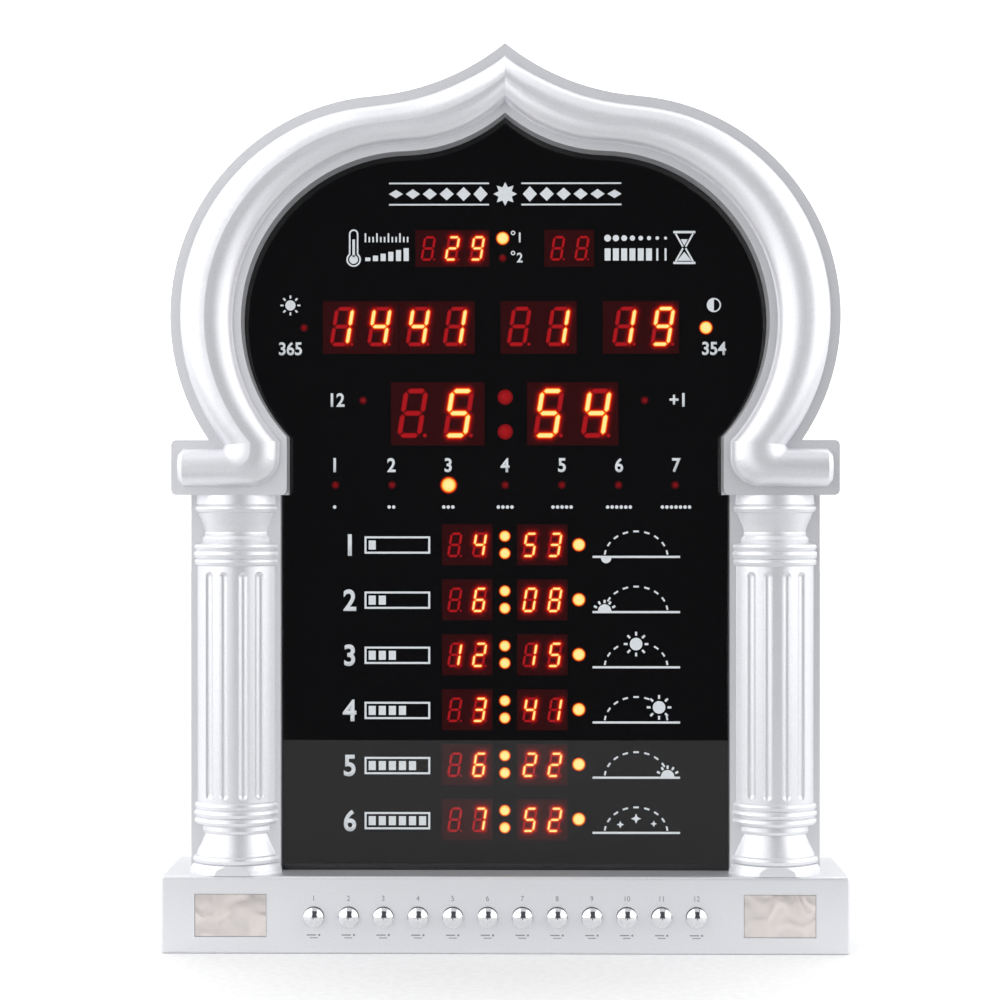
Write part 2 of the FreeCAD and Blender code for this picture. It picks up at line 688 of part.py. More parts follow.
COLUMN_FOOT = [
    (0.0, 23.3), (2.5, 22.9), (4.7, 21.6), (5.1, 20.6), (5.5, 21.5), (7.1, 21.9), (8.5, 21.3), (9.1, 20.2),
    (10.9, 19.5), (15.1, 17.4), (19.1, 15.6), (19.7, 15.3), (20.1, 16.4), (21.5, 17.0), (23.5, 16.7),
    (24.1, 17.8), (24.7, 20.4), (26.1, 21.2), (27.5, 20.8), (28.1, 20.0), (28.7, 20.8), (30.1, 21.4),
    (31.5, 21.0), (32.1, 20.2), (32.7, 20.8), (34.1, 21.0), (35.3, 20.6), (35.9, 19.5),
]
COLUMN_HEAD = [
    (35.8, 19.5), (35.2, 20.6), (33.8, 21.0), (32.8, 20.8), (32.2, 20.2), (31.6, 21.0), (30.0, 21.4),
    (28.6, 21.0), (28.0, 20.2), (27.4, 20.8), (26.2, 21.2), (25.0, 20.6), (24.4, 18.0), (23.8, 16.8),
    (22.2, 17.0), (21.2, 16.2), (20.6, 15.6), (19.4, 15.7), (18.6, 15.4), (15.2, 16.4), (11.2, 18.2),
    (9.0, 19.2), (8.4, 20.2), (7.0, 20.8), (5.8, 20.4), (5.2, 19.4), (4.6, 19.9), (0.0, 19.7),
]
COLUMN_TORUS = 5.1


def column_profile():
    """Heights and half widths of the column, from its foot to its neck."""
    foot = [(size("base_height") + up, half) for up, half in COLUMN_FOOT]
    head = [(size("foot_bottom") - down, half) for down, half in COLUMN_HEAD]
    return foot + head


def make_columns():
    """Two half-round fluted columns on their plates."""
    bulge = size("column_bulge")
    half = size("shaft_half")
    shaft_radius = (half ** 2 + bulge ** 2) / (2 * bulge)
    behind = shaft_radius - bulge
    axis_y = forward(size("plate_depth")) + behind
    for side, sign in (("left", -1), ("right", 1)):
        outline = [(0.0, size("base_height"))]
        outline += [(math.hypot(width, behind), z) for z, width in column_profile()]
        outline.append((0.0, size("foot_bottom")))
        body = doc.addObject("PartDesign::Body", side + "_column_turned")
        sketch = sketch_on(body, "XZ_Plane", side + "_column_profile", chain(outline + outline[:1]))
        turn = body.newObject("PartDesign::Revolution", side + "_column_turn")
        turn.Profile = sketch
        turn.ReferenceAxis = (sketch, ["V_Axis"])
        turn.Angle = 360
        bind(body, "Placement.Base.x", "%d * column_x" % sign)
        body.Placement.Base.y = axis_y
        doc.recompute()
        here = "%d * column_x" % sign
        reach = ("%s - 40" % here, "%s + 40" % here)
        back = block(side + "_column_back", reach, ("plate_depth - 60", "plate_depth"),
                     ("base_height - 1", "foot_bottom + 1"))
        bore = doc.addObject("Part::Cylinder", side + "_column_bore")
        bind(bore, "Radius", "column_bore")
        bind(bore, "Height", "foot_bottom - base_height - 6")
        bind(bore, "Placement.Base.x", here)
        bore.Placement.Base.y = axis_y
        bind(bore, "Placement.Base.z", "base_height + 3")
        flush = block(side + "_column_front", reach, ("base_depth", "base_depth + 20"),
                      ("base_height - 1", "base_height + %g" % COLUMN_TORUS))
        tools = [back, bore, flush]
        depth_in = math.sqrt(size("flute_cutter") ** 2 - (size("flute_width") / 2) ** 2)
        ring = shaft_radius + depth_in
        far = size("flute_far")
        near = size("flute_near")
        for index, offset in enumerate((-far, -near, near, far)):
            angle = math.asin(offset / shaft_radius)
            x = sign * size("column_x") + ring * math.sin(angle)
            y = axis_y - ring * math.cos(angle)
            tools += flute_cutter("%s_flute_%d" % (side, index), x, y)
        shape = cut(side + "_column_shell", body, tools)
        spots = [spot for spot in COLUMN_SCREWS if spot[0] * sign > 0]
        posts = rods_at(side + "_column_post", spots, "post_radius", ("plate_depth", "plate_depth + 5.5"))
        pilots = rods_at(side + "_column_pilot", spots, "pilot_radius",
                         ("plate_depth - 1", "plate_depth + 5"))
        whole = fused(side + "_column_posted", [shape] + posts)
        node(side + "_column", cut(side + "_column_drilled", whole, pilots))
    seat = "plate_depth - shell_wall"
    node("column_screws", screws_at("column_screw", COLUMN_SCREWS, seat, "plate_depth + 4.5"))


def flute_cutter(name, x, y):
    """An upright round bar with domed ends."""
    radius = size("flute_cutter")
    bar = doc.addObject("Part::Cylinder", name)
    bind(bar, "Radius", "flute_cutter")
    bind(bar, "Height", "flute_top - flute_bottom - 2 * flute_cutter")
    bar.Placement.Base = FreeCAD.Vector(x, y, 0)
    bind(bar, "Placement.Base.z", "flute_bottom + flute_cutter")
    ends = []
    for index, formula in enumerate(("flute_bottom + flute_cutter", "flute_top - flute_cutter")):
        ball = doc.addObject("Part::Sphere", "%s_end_%d" % (name, index))
        bind(ball, "Radius", "flute_cutter")
        ball.Placement.Base = FreeCAD.Vector(x, y, 0)
        bind(ball, "Placement.Base.z", formula)
        ends.append(ball)
    return [bar] + ends


def button_xs():
    """Formulas for the button centres."""
    count = int(size("button_count"))
    return ["button_pitch * %g" % (index - (count - 1) / 2) for index in range(count)]


def make_base():
    """The long box with button holes and two sunk inlay plates."""
    width = "base_width / 2"
    outer = block("base_block", ("-" + width, width), ("0", "base_depth"), ("0", "base_height"))
    doc.recompute()
    rounded = doc.addObject("Part::Fillet", "base_rounded")
    rounded.Base = outer
    radius = size("edge_round")
    back = forward(0)
    picked = []
    for index, edge in enumerate(outer.Shape.Edges, start=1):
        box = edge.BoundBox
        if box.YMin > back - 0.01 and box.ZLength < 0.01:
            continue
        picked.append((index, radius, radius))
    rounded.Edges = picked
    outer.Visibility = False
    room = "base_width / 2 - shell_wall"
    hollow = block("base_hollow", ("-(%s)" % room, room), ("-1", "base_depth - shell_wall"),
                   ("shell_wall", "base_height - shell_wall"))
    shell = cut("base_shell", rounded, [hollow])
    bosses = rods_at("base_boss", PLACES["base"], "boss_radius", ("cover_thick", "base_depth - 1"))
    board_seat = BOARD_FACE
    posts = rods_at("button_post", BUTTON_BOARD_SCREWS, "post_radius", (board_seat, "base_depth - 1"))
    tools = []
    for index, x in enumerate(button_xs()):
        tools.append(rod("button_hole_%d" % index, "button_radius + button_play", x, "button_height",
                         ("base_depth - shell_wall - 1", "base_depth + 1")))
    for side in ("-", ""):
        x = side + "inlay_x"
        half = "(inlay_width / 2 + inlay_gap)"
        tall = "(inlay_height / 2 + inlay_gap)"
        tools.append(block("inlay_recess" + side, ("%s - %s" % (x, half), "%s + %s" % (x, half)),
                           ("base_depth - inlay_thick - inlay_sink", "base_depth + 1"),
                           ("inlay_z - " + tall, "inlay_z + " + tall)))
    cover_side = "pilaster_outer - shell_wall"
    tools.append(block("base_cover_notch", ("-(%s)" % cover_side, cover_side), ("-1", "cover_thick + cover_gap"),
                       ("base_height - shell_wall - 1", "base_height + 1")))
    tools.append(block("base_wire_slot", ("-wire_slot_half", "wire_slot_half"),
                       ("wire_slot_back", "wire_slot_front"),
                       ("base_height - shell_wall - 1", "base_height + 1")))
    tools += rods_at("base_pilot", PLACES["base"], "pilot_radius",
                     ("cover_thick - 1", "cover_thick + pilot_deep"))
    tools += rods_at("button_pilot", BUTTON_BOARD_SCREWS, "pilot_radius",
                     (board_seat + " - 1", board_seat + " + 8"))
    top_wall = ("base_height - shell_wall - 1", "base_height + 1")
    tools += vertical_rods("base_joint_hole", "pilot_radius + screw_play", top_wall)
    node("base_housing", cut("base_cut", fused("base_solid", [shell] + bosses + posts), tools))
    for name, side in (("left", "-"), ("right", "")):
        x = side + "inlay_x"
        plate = block(name + "_inlay", ("%s - inlay_width / 2" % x, "%s + inlay_width / 2" % x),
                      ("base_depth - inlay_thick - inlay_sink", "base_depth - inlay_sink"),
                      ("inlay_z - inlay_height / 2", "inlay_z + inlay_height / 2"))
        node(name + "_inlay_plate", plate)
    make_joint_screws()


BUTTON_BOARD_SCREWS = [(side * (size("button_board_half") - 4), size("button_height")) for side in (-1, 1)]
BOARD_FACE = "(base_depth - shell_wall - button_flange_thick - button_gap - switch_thick)"


def make_joint_screws():
    """Screws up through the base's top into the shell's floor."""
    screws = []
    seat = "base_height - shell_wall"
    floor = "base_height + shell_wall"
    shanks = vertical_rods("joint_shank", "pilot_radius", (seat, floor + " + joint_nut + 1"))
    heads = vertical_rods("joint_head", "head_radius", (seat + " - head_thick", seat))
    nuts = vertical_rods("joint_nut_ring", "head_radius", (floor, floor + " + joint_nut"))
    for index, trio in enumerate(zip(shanks, heads, nuts)):
        screws.append(fused("joint_screw_%d" % index, list(trio)))
    node("base_joint_screws", loose("joint_screws", screws))


def make_buttons():
    """Domed caps, each with a flange behind the panel and a stem."""
    front = size("base_depth") + size("button_out")
    cap = size("button_radius")
    dome = size("button_dome")
    seat = size("base_depth") - size("shell_wall")
    flange = cap + size("button_flange")
    flange_back = seat - size("button_flange_thick")
    board = flange_back - size("button_gap") - size("switch_thick")
    tip = board + size("switch_thick") - size("stem_engage")
    stem = size("stem_radius")
    dome_radius = (cap ** 2 + dome ** 2) / (2 * dome)
    lean = math.asin(cap / dome_radius) / 2
    bulge = (front - dome_radius + dome_radius * math.cos(lean), dome_radius * math.sin(lean))
    profile = [
        [(forward(front), 0.0), (forward(bulge[0]), bulge[1]), (forward(front - dome), cap)],
        [(forward(front - dome), cap), (forward(seat), cap)],
        [(forward(seat), cap), (forward(seat), flange)],
        [(forward(seat), flange), (forward(flange_back), flange)],
        [(forward(flange_back), flange), (forward(flange_back), stem)],
        [(forward(flange_back), stem), (forward(tip), stem)],
        [(forward(tip), stem), (forward(tip), 0.0)],
        [(forward(tip), 0.0), (forward(front), 0.0)],
    ]
    face = BOARD_FACE
    switches = []
    for index, x in enumerate(button_xs()):
        name = "button_%02d" % (index + 1)
        body = turned_body(name + "_body", profile)
        bind(body, "Placement.Base.x", x)
        bind(body, "Placement.Base.z", "button_height")
        node(name, body)
        half = "switch_size / 2"
        box = block("switch_box_%d" % index, ("%s - %s" % (x, half), "%s + %s" % (x, half)),
                    (face, face + " + switch_thick"), ("button_height - " + half, "button_height + " + half))
        well = rod("switch_well_%d" % index, "stem_radius + stem_play", x, "button_height",
                   (face + " + switch_thick - stem_engage - button_travel - 0.5", face + " + switch_thick + 1"))
        switches.append(cut("switch_%d" % index, box, [well]))
    node("button_switches", loose("switches", switches))
    board = block("button_board_slab", ("-button_board_half", "button_board_half"),
                  ("%s - board_thick" % face, face),
                  ("button_height - button_board_tall / 2", "button_height + button_board_tall / 2"))
    holes = rods_at("button_board_hole", BUTTON_BOARD_SCREWS, "pilot_radius + screw_play",
                    ("%s - board_thick - 1" % face, "%s + 1" % face))
    node("button_board", cut("button_board_cut", board, holes))
    node("button_board_screws", screws_at("button_screws", BUTTON_BOARD_SCREWS, "%s - board_thick" % face,
                                          "%s + 7.5" % face))


def make_rear_cover():
    """The flat back: keyholes, speaker grille, vents and posts."""
    plate = slab("cover_plate", cover_outline(), "0", "cover_thick")
    inside = "cover_thick - 1"
    posts = rods_at("control_post", CONTROL_SCREWS, "post_radius", (inside, "cover_thick + control_stand"))
    posts += rods_at("speaker_post", SPEAKER_SCREWS, "post_radius", (inside, "cover_thick + speaker_lift"))
    tools = []
    for side in ("-", ""):
        x = side + "keyhole_x"
        through = ("-1", "cover_thick + 0.1")
        tools.append(rod("keyhole_entry" + side, "keyhole_radius", x, "keyhole_z", through))
        tools.append(block("keyhole_slot" + side, ("%s - keyhole_slot" % x, "%s + keyhole_slot" % x), through,
                           ("keyhole_z", "keyhole_z + keyhole_rise")))
        tools.append(rod("keyhole_end" + side, "keyhole_slot", x, "keyhole_z + keyhole_rise", through))
    for ring, count in enumerate((1, 6, 12, 18)):
        for index in range(count):
            angle = 2 * math.pi * index / count
            x = "speaker_x + grille_pitch * %.6f" % (ring * math.cos(angle))
            z = "speaker_z + grille_pitch * %.6f" % (ring * math.sin(angle))
            tools.append(rod("grille_%d_%d" % (ring, index), "grille_hole", x, z, ("-1", "cover_thick + 1")))
    for index in range(12):
        for side in ("-", ""):
            x = side + "vent_x"
            z = "vent_z + %d * vent_pitch" % index
            tools.append(block("vent_%d%s" % (index, side), (x + " - vent_long / 2", x + " + vent_long / 2"),
                               ("-1", "cover_thick + 1"), (z, z + " + vent_wide")))
    tools.append(rod("jack_hole", "jack_neck + 0.2", "jack_x", "jack_z", ("-1", "cover_thick + 1")))
    screw_hole = "pilot_radius + screw_play"
    tools += rods_at("cover_hole", PLACES["cover"] + PLACES["base"], screw_hole, ("-1", "cover_thick + 1"))
    tools += rods_at("cover_sink", PLACES["cover"] + PLACES["base"],
                     "head_radius + 0.3", ("-1", "head_thick + 0.1"))
    post_hole = ("cover_thick", "cover_thick + control_stand + 1")
    tools += rods_at("post_pilot", CONTROL_SCREWS + SPEAKER_SCREWS, "pilot_radius", post_hole)
    node("rear_cover", cut("cover_cut", fused("cover_solid", [plate] + posts), tools))
    places = PLACES["cover"] + PLACES["base"]
    node("rear_cover_screws",
         screws_at("cover_screws", places, "head_thick + 0.1", "cover_thick + pilot_deep - 1"))


# Chips on the control board: left, bottom, width and height, from the centre
# of the board. They are stock parts, so their sizes follow nothing.
CONTROL_CHIPS = ((-22, 8, 14, 14), (4, 10, 10, 6), (4, -6, 10, 6), (-24, -14, 9, 7))
CONTROL_SCREWS = [(sx * (size("control_width") / 2 - 5),
                   size("control_z") + sz * (size("control_height") / 2 - 5))
                  for sx in (-1, 1) for sz in (-1, 1)]
SPEAKER_SCREWS = [(size("speaker_x") + (size("speaker_radius") + 4.5) * math.cos(math.radians(a)),
                   size("speaker_z") + (size("speaker_radius") + 4.5) * math.sin(math.radians(a)))
                  for a in (45, 135, 225, 315)]


def make_speaker():
    """A round speaker on the inside of the rear cover."""
    rim = size("speaker_radius")
    cover = size("cover_thick")
    deep = size("speaker_deep")
    magnet = size("magnet_radius")
    front = cover + size("speaker_lift")
    basket = [
        (front, rim + 8), (front + 1.2, rim + 8), (front + 1.2, rim),
        (front + 4, rim), (front + deep, magnet + 2),
        (front + deep, 5.0), (front + deep - 1.2, 5.0), (front + deep - 1.2, magnet), (front + 3, rim - 2),
        (front, rim - 2),
    ]
    outline = [(forward(d), r) for d, r in basket]
    body = turned_body("speaker_basket", chain(outline + outline[:1]))
    bind(body, "Placement.Base.x", "speaker_x")
    bind(body, "Placement.Base.z", "speaker_z")
    holes = rods_at("speaker_hole", SPEAKER_SCREWS, "pilot_radius + screw_play", ("0", "20"))
    node("speaker_frame", cut("speaker_basket_cut", body, holes))
    cone = [
        (front + 0.5, rim - 2), (front + 1.1, rim - 2), (front + 2.2, rim - 3.5), (front + 1.3, rim - 5),
        (front + deep - 3.0, 8.0), (front + deep - 4.6, 4.0), (front + deep - 5.0, 0.0),
        (front + deep - 5.6, 0.0),
        (front + deep - 5.2, 4.2), (front + deep - 3.6, 8.4), (front + 0.7, rim - 5.2),
        (front + 1.6, rim - 3.5),
    ]
    outline = [(forward(d), r) for d, r in cone]
    body = turned_body("speaker_diaphragm", chain(outline + outline[:1]))
    bind(body, "Placement.Base.x", "speaker_x")
    bind(body, "Placement.Base.z", "speaker_z")
    node("speaker_cone", body)
    node("speaker_magnet", rod("magnet", "magnet_radius", "speaker_x", "speaker_z",
                               ("%g" % (front + deep), "%g + magnet_thick" % (front + deep))))
    node("speaker_screws", screws_at_front("speaker_screw", SPEAKER_SCREWS, "cover_thick + speaker_lift + 1.2",
                                            "cover_thick"))


def screws_at_front(name, places, seat, tip):
    """Screws whose heads face forward and whose shanks point back."""
    screws = []
    for index, (x, z) in enumerate(places):
        here = ("%.4f" % x, "%.4f" % z)
        shank = rod("%s_shank_%d" % (name, index), "pilot_radius", here[0], here[1], (tip, seat))
        head = rod("%s_head_%d" % (name, index), "head_radius", here[0], here[1],
                   (seat, "(%s) + head_thick" % seat))
        screws.append(fused("%s_%d" % (name, index), [shank, head]))
    return loose(name, screws)


def make_control_board():
    """Processor board with its chips, back-up cell and power inlet."""
    back = "cover_thick + control_stand"
    front = back + " + board_thick"
    half = "control_width / 2"
    span = ("control_z - control_height / 2", "control_z + control_height / 2")
    board = block("control_slab", ("-" + half, half), (back, front), span)
    holes = rods_at("control_hole", CONTROL_SCREWS, "pilot_radius + screw_play",
                    (back + " - 1", front + " + 1"))
    node("control_board", cut("control_cut", board, holes))
    node("control_board_screws", screws_at_front("control_screw", CONTROL_SCREWS, front, "cover_thick + 0.5"))
    chips = []
    for index, (x, z, wide, tall) in enumerate(CONTROL_CHIPS):
        chips.append(block("control_chip_%d" % index, ("%g" % x, "%g" % (x + wide)), (front, front + " + chip_thick"),
                           ("control_z + %g" % z, "control_z + %g" % (z + tall))))
    node("control_chips", loose("chips", chips))
    floor = front + " + 1.2"
    rim = floor + " + cell_thick + 0.2"
    holder = rod("holder_body", "cell_radius + holder_wall", "cell_x", "control_z", (front, rim))
    seat = rod("holder_seat", "cell_radius + 0.2", "cell_x", "control_z", (floor, rim + " + 1"))
    node("cell_holder", cut("holder_cut", holder, [seat]))
    node("coin_cell", rod("cell", "cell_radius", "cell_x", "control_z", (floor, floor + " + cell_thick")))
    neck = size("jack_neck")
    body = size("jack_body")
    deep = size("jack_deep")
    bore = size("jack_bore")
    pin = size("jack_pin")
    cover = size("cover_thick")
    profile = [(0.2, bore), (0.2, neck), (cover, neck), (cover, body), (deep, body), (deep, 0.0), (1.2, 0.0),
               (1.2, pin), (deep - 2, pin), (deep - 2, bore)]
    outline = [(forward(d), r) for d, r in profile]
    jack = turned_body("jack", chain(outline + outline[:1]))
    bind(jack, "Placement.Base.x", "jack_x")
    bind(jack, "Placement.Base.z", "jack_z")
    node("dc_jack", jack)


# The LED modules stand on the display board. Each entry gives the height of
# a row, then the centre line, width and height of each module in it. They
# are stock parts, so their sizes follow nothing.

MODULES = {
    "hour_display": ("hour_row", [(-34.4, 48.0, 32.4)]),
    "minute_display": ("hour_row", [(34.4, 46.8, 32.4)]),
    "year_display": ("date_row", [(-73.7, 38.9, 27.0), (-34.8, 38.9, 27.0)]),
    "month_display": ("date_row", [(17.0, 39.1, 27.0)]),
    "day_display": ("date_row", [(69.1, 39.1, 27.0)]),
    "temperature_display": ("upper_row", [(-26.9, 38.0, 19.0)]),
    "interval_display": ("upper_row", [(32.6, 25.6, 19.0)]),
}
ROW_MODULES = [(-19.4, 26.0, 21.0), (18.9, 26.0, 21.0)]
ROWS = ["row_top - %d * row_pitch" % index for index in range(6)]
MODULE_PLAY = 0.05
DRIVER_XS = (-70, 56)
DRIVER_SIZE = (14, 8)


def leds(name, places, radius, top):
    """Round LEDs with domed tips, on the display board."""
    parts = []
    shoulder = "%s - %s" % (top, radius)
    for index, (x, z) in enumerate(places):
        stem = rod("%s_stem_%d" % (name, index), radius, x, z, ("module_front - module_thick", shoulder))
        ball = doc.addObject("Part::Sphere", "%s_dome_%d" % (name, index))
        bind(ball, "Radius", radius)
        bind(ball, "Placement.Base.x", x)
        bind(ball, "Placement.Base.y", "crest_depth / 2 - (%s)" % shoulder)
        bind(ball, "Placement.Base.z", z)
        parts.append(fused("%s_%d" % (name, index), [stem, ball]))
    return loose(name, parts)


def module_boxes(name, row, faces):
    """The plain boxes of one display's modules, a hair apart."""
    boxes = []
    for index, (x, wide, tall) in enumerate(faces):
        half = wide / 2 - MODULE_PLAY
        boxes.append(block("%s_%d" % (name, index), ("%g" % (x - half), "%g" % (x + half)),
                           ("module_front - module_thick", "module_front"),
                           ("%s - %g" % (row, tall / 2), "%s + %g" % (row, tall / 2))))
    return loose(name + "_modules", boxes)


def make_display():
    """The display board with its modules, LEDs, chips and screws."""
    back = "module_front - module_thick - board_thick"
    front = "module_front - module_thick"
    outline = opening_outline(size("board_lap"), size("board_bottom"))
    board = slab("display_slab", outline, back, front)
    holes = rods_at("display_hole", PLACES["display"], "pilot_radius + screw_play",
                    (back + " - 1", front + " + 1"))
    node("display_board", cut("display_cut", board, holes))
    node("display_board_screws", screws_at("display_screws", PLACES["display"], back, front + " + 8.5"))
    for name, (row, faces) in MODULES.items():
        node(name, module_boxes(name, row, faces))
    for index, row in enumerate(ROWS):
        name = "row_%d_display" % (index + 1)
        node(name, module_boxes(name, row, ROW_MODULES))
    make_lamps()
    chips = []
    wide, tall = DRIVER_SIZE
    for index in range(len(ROWS)):
        z = "chip_low + %d * chip_pitch" % index
        for x in DRIVER_XS:
            chips.append(block("driver_%d_%d" % (index, x), ("%g" % x, "%g" % (x + wide)),
                               (back + " - chip_thick", back), (z, "%s + %g" % (z, tall))))
    node("driver_chips", loose("drivers", chips))
    lead = "cover_thick + control_stand + board_thick"
    node("board_header", block("header", ("4 - control_width / 2", "14 - control_width / 2"), (lead, back),
                               ("control_z - 22", "control_z - 4")))
    make_ribbon(back)


def make_lamps():
    """The colons between the digits, and the round indicator lamps."""
    colons = [("-0.2", "%s %s colon_half" % (row, sign)) for row in ROWS for sign in "-+"]
    small = leds("row_colon", colons, "small_led", "module_front")
    pair = [("0", "hour_row + 8.6"), ("0", "hour_row - 9.1")]
    large = leds("hour_colon", pair, "large_led", "module_front + 0.5")
    node("colon_leds", loose("colons", [small, large]))
    spots = [("row_lamp_x", row) for row in ROWS]
    spots += [("%d * day_pitch" % day, "day_row") for day in range(-3, 4)]
    spots += [("-102.7", "date_row"), ("102.4", "date_row")]
    spots += [("-72.6", "hour_row + 6.9"), ("71.1", "hour_row + 6.9")]
    spots += [("-1.3", "upper_row + 5.4"), ("-1.3", "upper_row - 4.8")]
    node("indicator_leds", leds("indicator", spots, "indicator_led", "module_front"))


def make_ribbon(back):
    """The flat cable from the display board down to the button board."""
    across = ("-ribbon_half", "ribbon_half")
    low = "button_height + 5.5"
    high = "board_bottom + 14"
    run = ("ribbon_depth", "ribbon_depth + ribbon_thick")
    drop = block("ribbon_drop", across, run, (low, high))
    top = block("ribbon_top", across, ("ribbon_depth", back), (high + " - ribbon_thick", high))
    reach = ("ribbon_depth", BOARD_FACE + " - board_thick")
    foot = block("ribbon_foot", across, reach, (low, low + " + ribbon_thick"))
    node("ribbon_cable", fused("ribbon", [drop, top, foot]))


make_arch_frame()
make_front_housing()
make_window()
make_columns()
make_base()
make_buttons()
make_rear_cover()
make_speaker()
make_control_board()
make_display()
doc.recompute()

for thing in doc.Objects:
    if "Invalid" in thing.State or "Error" in thing.State:
        raise RuntimeError("%s (%s) failed: %s" % (thing.Name, thing.Label, thing.State))
for name, thing in NODES.items():
    if thing.Shape.isNull() or not thing.Shape.isValid() or not thing.Shape.Solids:
        raise RuntimeError("%s has no valid solid" % name)

os.makedirs("parts", exist_ok=True)
for name, thing in NODES.items():
    thing.Shape.exportStep("parts/%s.step" % name)
    print(name, len(thing.Shape.Solids), round(thing.Shape.Volume, 1))
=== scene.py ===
# %% [markdown]
# # The looks of an azan clock
# A clock for a wall or a shelf, with a pointed arch on two fluted half columns.
# Its window is smoked acrylic over red LED digits, and twelve push buttons sit in the base.
# The solid parts come from the CAD model and stay where they are.
# This file gives them finishes and adds the small things that CAD leaves out:
# the segments of the digits, the lamps, the red light around them and the printing.

# %% Load the solid parts
import json
import math

import bmesh
import bpy
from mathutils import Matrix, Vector


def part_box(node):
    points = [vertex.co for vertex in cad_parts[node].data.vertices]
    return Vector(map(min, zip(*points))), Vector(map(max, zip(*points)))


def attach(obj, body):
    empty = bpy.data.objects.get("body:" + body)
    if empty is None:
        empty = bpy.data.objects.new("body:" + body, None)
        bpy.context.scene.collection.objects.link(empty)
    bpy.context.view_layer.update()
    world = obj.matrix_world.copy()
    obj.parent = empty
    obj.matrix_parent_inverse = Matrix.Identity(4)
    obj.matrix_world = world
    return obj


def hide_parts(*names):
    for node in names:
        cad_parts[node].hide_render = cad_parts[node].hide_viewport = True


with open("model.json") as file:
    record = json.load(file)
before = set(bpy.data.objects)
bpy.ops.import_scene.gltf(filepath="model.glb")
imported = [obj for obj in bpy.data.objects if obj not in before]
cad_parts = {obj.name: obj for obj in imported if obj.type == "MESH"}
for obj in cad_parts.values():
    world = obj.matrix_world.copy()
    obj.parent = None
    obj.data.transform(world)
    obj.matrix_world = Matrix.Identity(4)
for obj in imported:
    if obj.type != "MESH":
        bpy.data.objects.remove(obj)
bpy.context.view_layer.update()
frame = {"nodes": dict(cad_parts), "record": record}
MM = 0.001
BODY = "housing"
print("loaded", len(frame["nodes"]), "solid parts")

# %% [markdown]
# ## The camera
# The photograph was taken from about a metre in front of the base, a little right of its middle.
# The camera stood level with the feet of the arch, so the floor runs up to the middle of the picture.
# A 72 mm lens on a 36 mm sensor gives the same narrow angle.

# %% Place the camera
camera = bpy.data.objects.new("camera", bpy.data.cameras.new("camera"))
bpy.context.scene.collection.objects.link(camera)
camera.data.lens = 72.1
camera.data.sensor_width = 36.0
camera.location = (0.0075, -1.025, 0.2301)
YAW_LEFT = 0.57
PITCH_DOWN = 0.17
camera.rotation_euler = (math.radians(90 - PITCH_DOWN), 0, math.radians(YAW_LEFT))
bpy.context.scene.camera = camera
print("camera at", tuple(camera.location))

# %% [markdown]
# ## Small helpers
# Colours are read as sRGB hex, as a paint chart gives them, and Blender wants them linear.
# A node is added with its settings and its links in one call, so that a finish reads like a recipe.
# A pattern's scale is one over the size of its grain, because a texture's scale counts cells per metre.

# %% Colour, node and material helpers
def srgb(code, alpha=1.0):
    """A hex colour as Blender's linear numbers."""
    parts = [int(code[i:i + 2], 16) / 255 for i in (1, 3, 5)]
    return [c / 12.92 if c <= 0.04045 else ((c + 0.055) / 1.055) ** 2.4 for c in parts] + [alpha]


def add(tree, kind, inputs=None, **settings):
    """Adds a node. An input is a plain value or another node's output."""
    made = tree.nodes.new(kind)
    for name, value in settings.items():
        setattr(made, name, value)
    for name, value in (inputs or {}).items():
        if isinstance(value, bpy.types.NodeSocket):
            tree.links.new(value, made.inputs[name])
        else:
            made.inputs[name].default_value = value
    return made


def per_metre(millimetres):
    """A texture scale that makes one cell as large as that."""
    return 1000.0 / millimetres


def material(name, **inputs):
    """An empty material with one Principled shader, its tree and its own place in the object."""
    made = bpy.data.materials.new(name)
    made.use_nodes = True
    tree = made.node_tree
    tree.nodes.clear()
    values = {key.replace("_", " "): value for key, value in inputs.items()}
    shader = add(tree, "ShaderNodeBsdfPrincipled", values)
    out = tree.nodes.new("ShaderNodeOutputMaterial")
    tree.links.new(shader.outputs[0], out.inputs["Surface"])
    place = tree.nodes.new("ShaderNodeTexCoord").outputs["Object"]
    return made, tree, shader, place


def ramp(tree, factor, stops):
    """A colour ramp through (position, colour) stops."""
    made = add(tree, "ShaderNodeValToRGB", {"Fac": factor})
    band = made.color_ramp
    while len(band.elements) < len(stops):
        band.elements.new(0.5)
    for element, (position, colour) in zip(band.elements, stops):
        element.position = position
        element.color = colour
    return made.outputs["Color"]


def spread(tree, factor, low, high):
    """Maps a 0 to 1 pattern to a narrow span, such as a roughness that wanders."""
    made = add(tree, "ShaderNodeMapRange", {"Value": factor, "To Min": low, "To Max": high})
    return made.outputs["Result"]


def relief(tree, shader, height, depth_mm):
    """A bump of that real depth on the shader."""
    bump = add(tree, "ShaderNodeBump", {"Height": height, "Distance": depth_mm * MM, "Strength": 1.0})
    tree.links.new(bump.outputs["Normal"], shader.inputs["Normal"])


print("helpers ready")

# %% [markdown]
# ## Silver lacquer on ABS
# The shell, the arch, the columns and the base are moulded ABS, sprayed with a silver lacquer.
# The flakes make it half a metal: it takes up the bright room at its flanks and the dark room at its crests.
# The spray leaves a faint orange peel about 3 mm across, and the flakes sparkle.
# Real flakes are under 0.1 mm, so they are drawn at 0.5 mm, the finest that shows in the picture.

